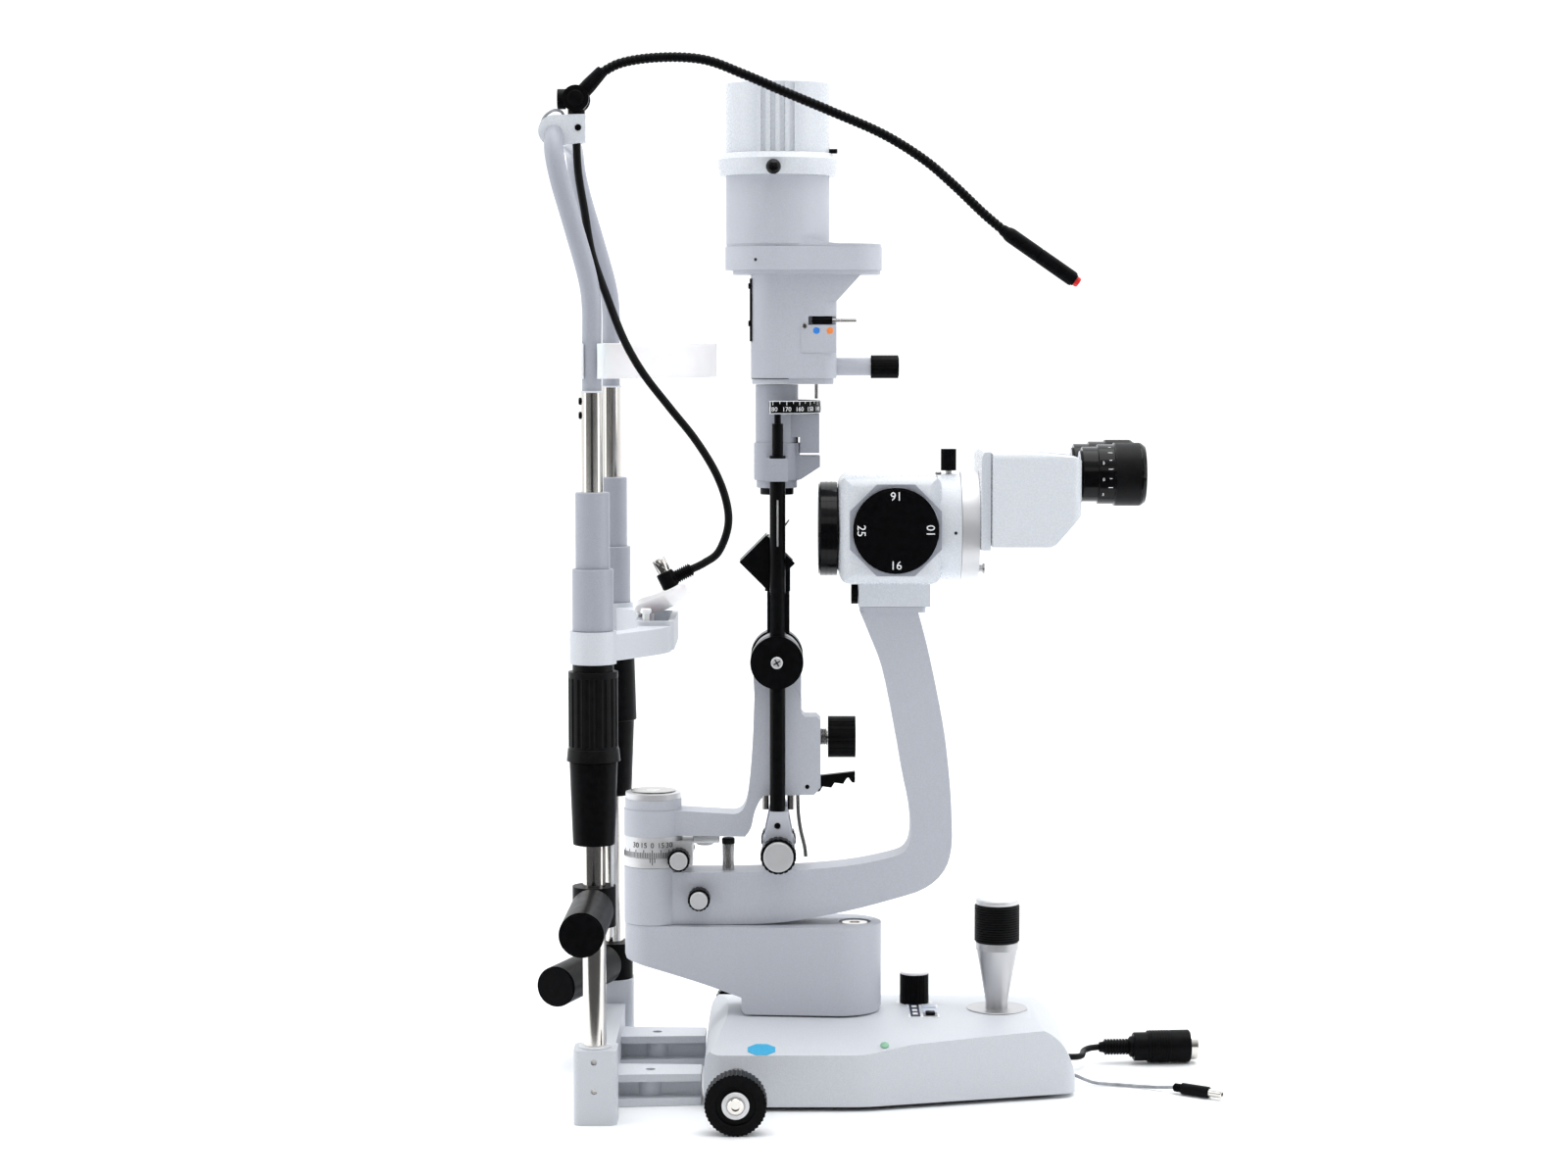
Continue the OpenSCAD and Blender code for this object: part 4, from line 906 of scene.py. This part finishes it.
def on_base(name, material, x0, x1, y0, y1, height=0.6):
    """Flat printed rectangle that follows the base top."""
    corners = [base_top(*c) for c in ((x0, y0), (x1, y0), (x1, y1), (x0, y1))]
    bm = bmesh.new()
    slab(bm, [c + mm(0, 0, -0.2) for c in corners], [c + mm(0, 0, height) for c in corners])
    piece_from(name, bm, "base", material, smooth=False)


def surface_hit(node, start, direction):
    """The first point of a CAD node that a ray from start meets, and the normal there."""
    bm = bmesh.new()
    bm.from_mesh(nodes[node].data)
    place, normal, _, _ = BVHTree.FromBMesh(bm).ray_cast(start, Vector(direction))
    bm.free()
    return place, normal


def side_point(x, z):
    """A point on the near side of the base cover and the normal there."""
    return surface_hit("base_cover", mm(x, -300, z), (0, 1, 0))


def make_base_trim():
    """Control panel, rings of the joystick and the knob, pilot lamp and sticker."""
    on_base("panel_plate", "white_ink", 173, 194, -28, 12, 0.3)
    on_base("panel_dark", "navy_ink", 174.5, 181, -26, 10)
    on_base("panel_pale", "pale_ink", 183, 192.5, -15, -3)
    on_base("panel_grey", "grey_cable", 183, 192.5, -26, -17)
    on_base("panel_mark", "pale_ink", 183, 192.5, 0, 9)
    for i, y in enumerate((-22, -12, 0)):
        on_base(f"panel_bar_{i}", "white_ink", 176, 179.4, y, y + 4.5, 0.8)
    box_piece("panel_switch", "base", "black_plastic", mm(184.5, -25, 49.9), mm(191, -18, 52.2), 0.8)
    # opening ring of the joystick, and the ring under the brightness knob
    ring = [(17, 49.7), (20.5, 49.7), (20.9, 50), (20.5, 50.6), (17.2, 50.6)]
    turned("stick_ring", "base", "stem", ring, (STICK.x, 0, 0), sides=64, slot="paint")
    washer = [(10.2, 49.1), (12.6, 49.1), (12.6, 49.7), (10.4, 49.7)]
    turned("knob_ring", "base", "satin", washer, mm(178.5, 20, 0), slot="satin_metal")
    # pilot lamp on the near side and the octagonal sticker near the wheel
    lamp = [(0, 0), (2.8, 0), (2.8, 0.8), (2, 1.3), (0, 1.5)]
    turned("pilot_lamp", "base", "green", lamp, *side_point(155, 42.2), 32, "black_plastic")
    origin, normal = side_point(74, 40.2)
    plate("sticker", "base", "sticker", octagon(9.8, 5.6), origin - normal * 0.0002, normal, 0.5)


def make_spring_lever():
    """Bright flat spring behind the rods: a strip that follows a curve."""
    bm = bmesh.new()
    line = spline_points(mms([(98, 6, 199), (98.2, 6, 192), (98.6, 6, 183), (100.2, 6, 172), (102.8, 6, 161),
                              (103.6, 6, 154)]), 6)
    wide = mm(0, 4.5, 0)
    for a, b in zip(line, line[1:]):
        along = (b - a).normalized()
        side = Vector((along.z, 0, -along.x)) * 0.0012
        low, high = [[bm.verts.new(p + u * side + v * wide) for u, v in ((-1, -1), (1, -1), (1, 1), (-1, 1))]
                     for p in (a, b)]
        wall(bm, low, high)
    bmesh.ops.remove_doubles(bm, verts=bm.verts, dist=0.00001)
    piece_from("spring_lever", bm, "illumination_arm", "steel")


def make_arm_trim():
    """Hub scale, stop pin, clamp and spring lever of the two arms."""
    arm, hub, hub_r = "illumination_arm", mm(0, 0, 0), 20.02
    marks = range(-24, 25)
    heights = [(156.6, 161.8 if i % 5 == 0 else 160) for i in marks]
    ring_ticks("hub_scale", arm, "black_ink", hub, hub_r, heights, [-90 + i * 3.4 for i in marks], 0.5)
    for degrees, text in ((-34, "30"), (-17, "15"), (0, "0"), (17, "15"), (34, "30")):
        out = polar(-90 + degrees)
        place = out * 0.02004 + mm(0, 0, 164.8)
        digits(f"hub_number_{degrees}", arm, "black_ink", text, 5, place, out, (0, 0, 1))
    index = [(156.2 - h, 156.2) for h in (3.0, 4.6, 3.0)]
    ring_ticks("hub_index", arm, "black_ink", hub, hub_r, index, (-94.5, -90, -85.5), 0.5)
    turned("hub_line", arm, "black_ink", hoop(19.85, 20.06, 156.1, 156.35), hub, sides=96, slot="satin_metal")
    # stop pin on the microscope arm, with its rubber top
    pin = mm(51, -4, 0)
    turned("stop_pin", "microscope_arm", "steel", disc(4, 145.7, 164.2), pin, sides=40, slot="steel")
    cap = [(0, 164), (4.2, 164), (4.4, 164.5), (4.4, 167.4), (3.8, 168.1), (0, 168.1)]
    turned("stop_pin_cap", "microscope_arm", "rubber", cap, pin, sides=40, slot="rubber")
    # bright clamp below the lamp arm, and the second lock knob
    bm = bmesh.new()
    bevelled_box(bm, mm(27, -8, 164.6), mm(45, 8, 169.8), 1.2)
    lathe(bm, [(0, 162.8), (5.2, 162.8), (6, 163.6), (6, 165), (0, 165)], mm(35, 0, 0), sides=32)
    piece_from("arm_clamp", bm, arm, "satin")
    knob = [(0, 0), (6.2, 0), (7.4, 0.8), (7.4, 10), (6.6, 10.8), (0, 10.8)]
    wave = lambda a, h: 1 + 0.035 * math.cos(14 * a)
    turned("second_lock_knob", arm, "black_plastic", knob, mm(20, 12.4, 158), (0, 1, 0), 84, "black_plastic",
           wave)
    # hub recess line and bright spring lever behind the rods
    top = Vector((0, 0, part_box("degree_ring")[1].z))
    turned("hub_cap_line", arm, "steel", hoop(15, 15.3, -0.4, -0.1), top, sides=64, slot="satin_metal")
    make_spring_lever()
    for x, r in ((76.5, 2.3), (93.5, 2.6)):
        turned(f"foot_pin_{int(x)}", "tower", "chrome", disc(r, 0, 9.5), mm(x, -21, 190), sides=32,
               slot="chrome")


def make_tower_trim():
    """Screws, grooves, lens and mirror glass of the lamp tower."""
    for s, tag in SIDES:
        out, flank = (0, s, 0), mm(84, s * 32, 290)
        head = [(0, 0), (4, 0), (4, 0.6), (3.4, 1), (0, 1)]
        turned(f"pivot_screw_{tag}", "tower", "satin", head, flank, out, 32, "steel")
        # the slots of the pivot screws are thin black boxes: painted shade in the slots
        for turn in (30, 120):
            bm = bmesh.new()
            place = frame_at(flank + mm(0, s, 0), out) @ Matrix.Rotation(math.radians(turn), 4, "Z")
            cube(bm, place, mm(5.2, 0.9, 0.3))
            piece_from(f"pivot_slot_shade_{tag}_{turn}", bm, "tower", "black_ink", smooth=False)
        turned(f"pivot_edge_{tag}", "tower", "black_metal", hoop(16.5, 17.2, -0.2, 0.3), flank, out, 64,
               "black_metal")
        middle = s * 27.9
        box_piece(f"rod_groove_{tag}", "tower", "satin", mm(83.9, middle - 0.2, 367.4),
                  mm(85.1, middle + 0.2, 398.6), 0.1)
        screw(f"gear_screw_{tag}", "tower", mm(84.4, s * 30, 180), out, 2.1, 0.6)
        screw(f"clamp_screw_{tag}", "tower", mm(72.6, s * 9, 417.5), (-0.78, s * 0.62, 0), 1.3, 0.6)
    # lens cell under the barrel
    barrel = mm(84, 0, 0)
    cell = [(8.5, 401.2), (11.2, 401.2), (11.3, 401.6), (11.3, 402.1), (8.5, 402.1)]
    turned("lens_cell", "tower", "black_gloss", cell, barrel, slot="black_metal")
    turned("tower_lens", "tower", "lens", [(0, 401), (8.6, 401.4), (8.6, 402), (0, 402)], barrel)
    # mirror glass and the small tab above it
    bm = bmesh.new()
    place = Matrix.Translation(mm(77.5, 0, 356)) @ Matrix.Rotation(math.radians(45), 4, "Y")
    cube(bm, place @ Matrix.Translation(mm(0, 0, 13.2)), mm(22, 30, 0.8))
    piece_from("mirror_glass", bm, "tower", "lens", smooth=False)
    tab = [(0, 0), (4.2, 6.2), (3.4, 6.6), (-1, 0.8)]
    plate("mirror_tab", "tower", "steel", tab, mm(88.4, -8, 378), (0, -1, 0), 0.6)


def make_angle_scale():
    """White edge, ticks and numbers on the curved plate."""
    middle, r = mm(84, 0, 0), 29.52
    for name, z0, z1 in (("scale_top", 464.1, 464.6), ("scale_bottom", 456.0, 456.4)):
        bm = bmesh.new()
        first, *_, last = arc_band(bm, middle, r, (z0, z1), (-0.2, 0.12), -100, 100, 64)
        bm.faces.new([first[i] for i in (0, 1, 3, 2)])
        bm.faces.new([last[i] for i in (0, 2, 3, 1)])
        piece_from(name, bm, "tower", "white_ink")
    angles = [-95 + 9 * i for i in range(21)]
    marks = [(461.6 if i % 2 == 0 else 462.6, 464.1) for i in range(21)]
    ring_ticks("scale_marks", "tower", "white_ink", middle, r, marks, angles, 0.4)
    ring_ticks("scale_ends", "tower", "white_ink", middle, r, [(456, 464.6)] * 2, (-98.6, 98.6), 0.7)
    for i in range(0, 21, 2):
        out = polar(angles[i])
        digits(f"scale_number_{i}", "tower", "white_ink", str(180 - 5 * i), 4.2,
               middle + mm(0, 0, 458.9) + out * (r + 0.03) * MM, out, (0, 0, 1))


def make_head_trim():
    """Filter plates with their marks, the lamp's side plate, the painted shade in the collar's slit and a
    knob face.
    """
    for s, tag in SIDES:
        middle = s * 19.25
        # the filter plates take the darker copy of the paint: painted shade
        box_piece(f"filter_plate_{tag}", "head", "arm_paint", mm(100, middle - 0.25, 496.5),
                  mm(123.4, middle + 0.25, 514.7), 0.2)
        screw(f"filter_screw_{tag}", "head", mm(102.6, s * 19.4, 514.2), (0, s, 0), 1.8, 0.6, cross=True)
        for x, colour in ((110.4, "blue"), (119.4, "orange")):
            place = mm(x, s * 19.5, 511.2)
            turned(f"mark_{colour}_{tag}", "head", colour, disc(2.2, 0, 0.2), place, (0, s, 0), 32, "paint")
    # plate with two screws on the patient's side, and a black band round part of the rotating collar's slit:
    # painted shade in the gap
    back = Vector((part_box("head_body")[0].x, 0, 0))
    box_piece("lamp_side_plate", "head", "black_metal", back + mm(-0.7, -7, 504), back + mm(0.4, 7, 546), 0.2)
    for z in (541, 516):
        screw(f"side_screw_{z}", "head", back + mm(-0.7, -3.5, z), (-1, 0, 0), 2, 1)
    bm = bmesh.new()
    arc_band(bm, mm(85.5, 0, 0), 18.4, (478.9, 479.7), (-0.4, 0.4), 125, 290, 30)
    piece_from("collar_gap_shade", bm, "head", "black_ink")
    place, normal = surface_hit("lamp_drum", mm(70, -200, 558), (0, 1, 0))
    turned("drum_pin", "head", "black_ink", disc(1.1, -0.3, 0.1), place, normal, 24, "black_metal")
    knob_cap("aperture_face", "aperture_knob", (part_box("aperture_knob")[1].x, 0, 0.487), (1, 0, 0), 6.6,
             "black_metal")


def ring_point(outline, angle):
    """The point of a closed outline that lies in that direction from its middle."""
    ray = (math.cos(angle), math.sin(angle))
    best = None
    for (x0, y0), (x1, y1) in zip(outline, outline[1:] + outline[:1]):
        dx, dy = x1 - x0, y1 - y0
        cross = ray[0] * dy - ray[1] * dx
        if abs(cross) < 1e-9:
            continue
        t = (x0 * dy - y0 * dx) / cross
        u = (x0 * ray[1] - y0 * ray[0]) / cross
        if t > 0 and -1e-6 <= u <= 1 + 1e-6 and (best is None or t < best):
            best = t
    return best * ray[0], best * ray[1]


def make_dial_facing(name, centre, s):
    """Octagonal facing behind a dial, with a round hole."""
    bm = bmesh.new()
    rise = mm(0, s * 0.3, 0)
    loops = []
    for outline in ([ring_point(octagon(33, 33), a) for a in circle_of(64)],
                    [(29 * math.cos(a), 29 * math.sin(a)) for a in circle_of(64)]):
        low = [centre + mm(u, 0, v) for u, v in outline]
        loops.append([bm.verts.new(p) for p in low])
        loops.append([bm.verts.new(p + rise) for p in low])
    outer, raised_outer, inner, raised_inner = loops
    for a, b in ((outer, raised_outer), (raised_outer, raised_inner), (raised_inner, inner), (inner, outer)):
        wall(bm, a, b)
    # The facing takes the darkest copy of the paint: painted shade.
    piece_from(name, bm, "microscope_arm", "shade_paint")


def make_microscope_trim():
    """Numbers and facings of the dials, the objective's glass and rings, and small hardware."""
    body, drum = "microscope_arm", "magnification_drum"
    axis = mm(0, 0, 378)
    for s, tag in SIDES:
        face = Vector((DRUM.x, s * 45.4 * MM, DRUM.z))
        for text, dx, dz, up in (("16", 0, 1, (0, 0, -1)), ("16", 0, -1, (0, 0, 1)),
                                 ("25", s, 0, (-s, 0, 0)), ("10", -s, 0, (s, 0, 0))):
            digits(f"dial_{tag}_{text}_{dx}_{dz}".replace("-", "m"), drum, "white_ink", text, 8,
                   face + mm(dx, 0, dz) * 23.2, (0, s, 0), up)
        turned(f"dial_recess_edge_{tag}", drum, "black_gloss", hoop(19.2, 19.4, -0.1, 0.25), face, (0, s, 0),
               64, "black_metal")
        make_dial_facing(f"dial_facing_{tag}", Vector((DRUM.x, s * 40.02 * MM, DRUM.z)), s)
    # objective glass behind its retaining ring
    turned("objective_glass", body, "lens", [(0, 0), (24.9, 1.6), (24.9, 3), (0, 3)],
           axis + mm(113.2, 0, 0), (1, 0, 0), 64)
    retainer = [(23.6, 0.6), (23.6, -0.2), (25, -0.6), (27.2, -0.6), (27.6, -0.1), (27.6, 0.6)]
    rib = [(31.6, -0.4), (31.9, -0.3), (31.9, 0.3), (31.6, 0.4)]
    rings = (("retainer", retainer, 112.4), ("rib_1172", rib, 117.2), ("rib_1206", rib, 120.6))
    for part, profile, x in rings:
        turned(f"objective_{part}", body, "black_gloss", profile, axis + mm(x, 0, 0), (1, 0, 0), 64,
               "black_metal")
    # button, a hole drawn as a black disc of painted shade, and screw
    box_piece("release_button", body, "steel", mm(189.5, -30, 415.4), mm(193.5, -24, 417.4), 0.5)
    turned("ring_hole_shade", body, "black_ink", disc(1.1, -0.2, 0.2),
           *surface_hit("microscope_body", mm(203, -200, 377), (0, 1, 0)), 24, "black_metal")
    head = [(0, 0), (3.2, 0), (3.5, 0.3), (3.5, 1.1), (3.1, 1.4), (0, 1.4)]
    turned("ring_screw", body, "steel", head, mm(221.6, -22, 352.5), (1, 0, 0), 32, "steel")


def make_eyepiece_trim():
    """Dioptre marks and numbers, the eyecup's sleeve and the eye lens."""
    for s, tag in SIDES:
        body, axis = f"{tag}_eyepiece", mm(0, s * 32, 416)
        for i in range(6):
            a = math.radians(-24 + 18 * i) * -s
            out = Vector((0, s * math.cos(a), math.sin(a)))
            side = Vector((0, -math.sin(a) * s, math.cos(a))) * 0.00022
            middle = axis + mm(304.2, 0, 0) + out * 0.0198
            half = mm(1.5 if i % 2 == 0 else 0.9, 0, 0)
            mark = [middle + u * half + v * side for u, v in ((-1, -1), (1, -1), (1, 1), (-1, 1))]
            bm = bmesh.new()
            slab(bm, [c - out * 0.0001 for c in mark], [c + out * 0.0001 for c in mark])
            piece_from(f"dioptre_mark_{tag}_{i}", bm, body, "white_ink", smooth=False)
        for angle, text in ((-40, "5"), (-8, "0"), (24, "5")):
            a = math.radians(angle)
            out = Vector((0, s * math.cos(a), math.sin(a)))
            digits(f"dioptre_{tag}_{angle}".replace("-", "m"), body, "white_ink", text, 3,
                   axis + mm(299.5, 0, 0) + out * 0.01985, out, (0, 0, 1))
        sleeve = [(20.7, 308), (20.95, 308.2), (20.95, 324.5), (20.7, 324.7)]
        turned(f"cup_sleeve_{tag}", body, "rubber", sleeve, axis, (1, 0, 0), 64, "rubber")
        turned(f"eye_lens_{tag}", body, "lens", [(0, 0), (11.9, -1.2), (11.9, -3), (0, -3)],
               axis + mm(317.3, 0, 0), (1, 0, 0))


def make_small_trim():
    """The fixation lamp's lead, screw and pivot knob, the chin cup's pegs and the centering spring."""
    route = mms([(-52, -99, 648.4), (-54, -99, 650.6), (-58.5, -99.5, 651), (-64, -100, 647),
                 (-66, -100, 641), (-64.5, -99.5, 635.5)])
    tube_piece("lamp_wire", "headrest", "grey_cable", spline_points(route, 6), 0.9, 10)
    screw("holder_screw", "headrest", mm(-42.5, -103, 640), (0, -1, 0), 2.1)
    turned("lamp_pivot_knob", "fixation_swivel", "black_plastic", rounded_disc(5.2, 2.2, 0.8),
           mm(-44, -103.6, 658.5), (0, -1, 0), 40, "black_plastic")
    peg = [(0, 323.8), (3.4, 323.8), (3.6, 324.4), (3.6, 326.2), (3, 327), (0, 327)]
    for s, tag in SIDES:
        turned(f"cup_peg_{tag}", "chin_rest", "cup", peg, mm(-3, s * 37, 0), sides=32, slot="cup")
    coil = [mm(101.5 + 16.5 * i / 160, 5.2 * math.cos(0.55 * i), 236.6 + 5.2 * math.sin(0.55 * i))
            for i in range(161)]
    tube_piece("centering_spring", "centering_knob", "steel", coil, 0.5, 8)


make_head_rest_trim()
make_knob_caps()
make_wheel_trim()
make_base_trim()
make_arm_trim()
make_tower_trim()
make_angle_scale()
make_head_trim()
make_microscope_trim()
make_eyepiece_trim()
make_small_trim()


# ---------------------------------------------------------------- floor and light
def make_stage():
    bm = bmesh.new()
    bmesh.ops.create_grid(bm, x_segments=8, y_segments=8, size=6)
    mesh = bpy.data.meshes.new("floor")
    bm.to_mesh(mesh)
    bm.free()
    floor = add_object("floor", mesh)
    floor.location.z = -0.0002
    shader = Shader("floor", (0.93, 0.94, 0.95), 0.55)
    shader.vary_colour(shader.noise(3, 2), 0.01)
    floor.data.materials.append(shader.material)


def make_world():
    """White studio: bright above and behind the part, dimmer on the camera's side."""
    world = bpy.data.worlds.new("studio")
    bpy.context.scene.world = world
    world.use_nodes = True
    tree = world.node_tree
    split = tree.nodes.new("ShaderNodeSeparateXYZ")
    coords = tree.nodes.new("ShaderNodeTexCoord")
    tree.links.new(coords.outputs["Generated"], split.inputs["Vector"])
    total = tree.nodes.new("ShaderNodeMath")
    total.operation = "ADD"
    for i, (direction, start, end, low, high) in enumerate((("Y", -0.75, 0.45, 0.16, 1.25),
                                                            ("Z", 0.25, 0.95, 0.0, 0.9))):
        fade = set_inputs(tree.nodes.new("ShaderNodeMapRange"), From_Min=start, From_Max=end, To_Min=low,
                          To_Max=high)
        fade.interpolation_type = "SMOOTHSTEP"
        tree.links.new(split.outputs[direction], fade.inputs["Value"])
        tree.links.new(fade.outputs["Result"], total.inputs[i])
    background = set_inputs(tree.nodes["Background"], Color=(0.97, 0.985, 1.0, 1))
    tree.links.new(total.outputs[0], background.inputs["Strength"])


def area_light(name, place, aim, width, height, power):
    lamp = configure(bpy.data.lights.new(name, "AREA"), shape="RECTANGLE", size=width, size_y=height,
                     energy=power)
    turn = (Vector(aim) - Vector(place)).to_track_quat("-Z", "Y").to_euler()
    configure(add_object(name, lamp), location=place, rotation_euler=turn)


def make_flags():
    """Dark cards on the camera's side that only reflections see, as in a light tent with an open front."""
    shader = Shader("flag", (0.02, 0.02, 0.022), 0.9)
    shader.vary_colour(shader.noise(4, 2), 0.2)
    for name, x0, x1, (y0, z0), (y1, z1) in (("flag_low", -3, 3, (-0.34, 0.001), (-3, 0.001)),
                                             ("flag_front", -0.55, 0.65, (-2.9, -0.2), (-2.9, 1.15))):
        mesh = bpy.data.meshes.new(name)
        mesh.from_pydata([(x0, y0, z0), (x1, y0, z0), (x1, y1, z1), (x0, y1, z1)], [], [(0, 1, 2, 3)])
        card = add_object(name, mesh)
        card.data.materials.append(shader.material)
        for ray in ("camera", "diffuse", "transmission", "shadow", "volume_scatter"):
            setattr(card, "visible_" + ray, False)


make_stage()
make_world()
make_flags()
area_light("top", (0.3, -0.2, 2.2), (0.09, 0, 0.3), 1.8, 1.4, 20)
area_light("left", (-1.7, -0.5, 1.0), (0.0, 0, 0.35), 0.9, 1.6, 6)
area_light("right", (2.0, -0.6, 0.9), (0.1, 0, 0.35), 0.9, 1.6, 6)
area_light("front", (0.2, -2.6, 1.5), (0.1, 0, 0.3), 1.4, 0.8, 3.5)

bpy.context.scene.view_settings.view_transform = "Standard"
bpy.context.scene.view_settings.look = "None"
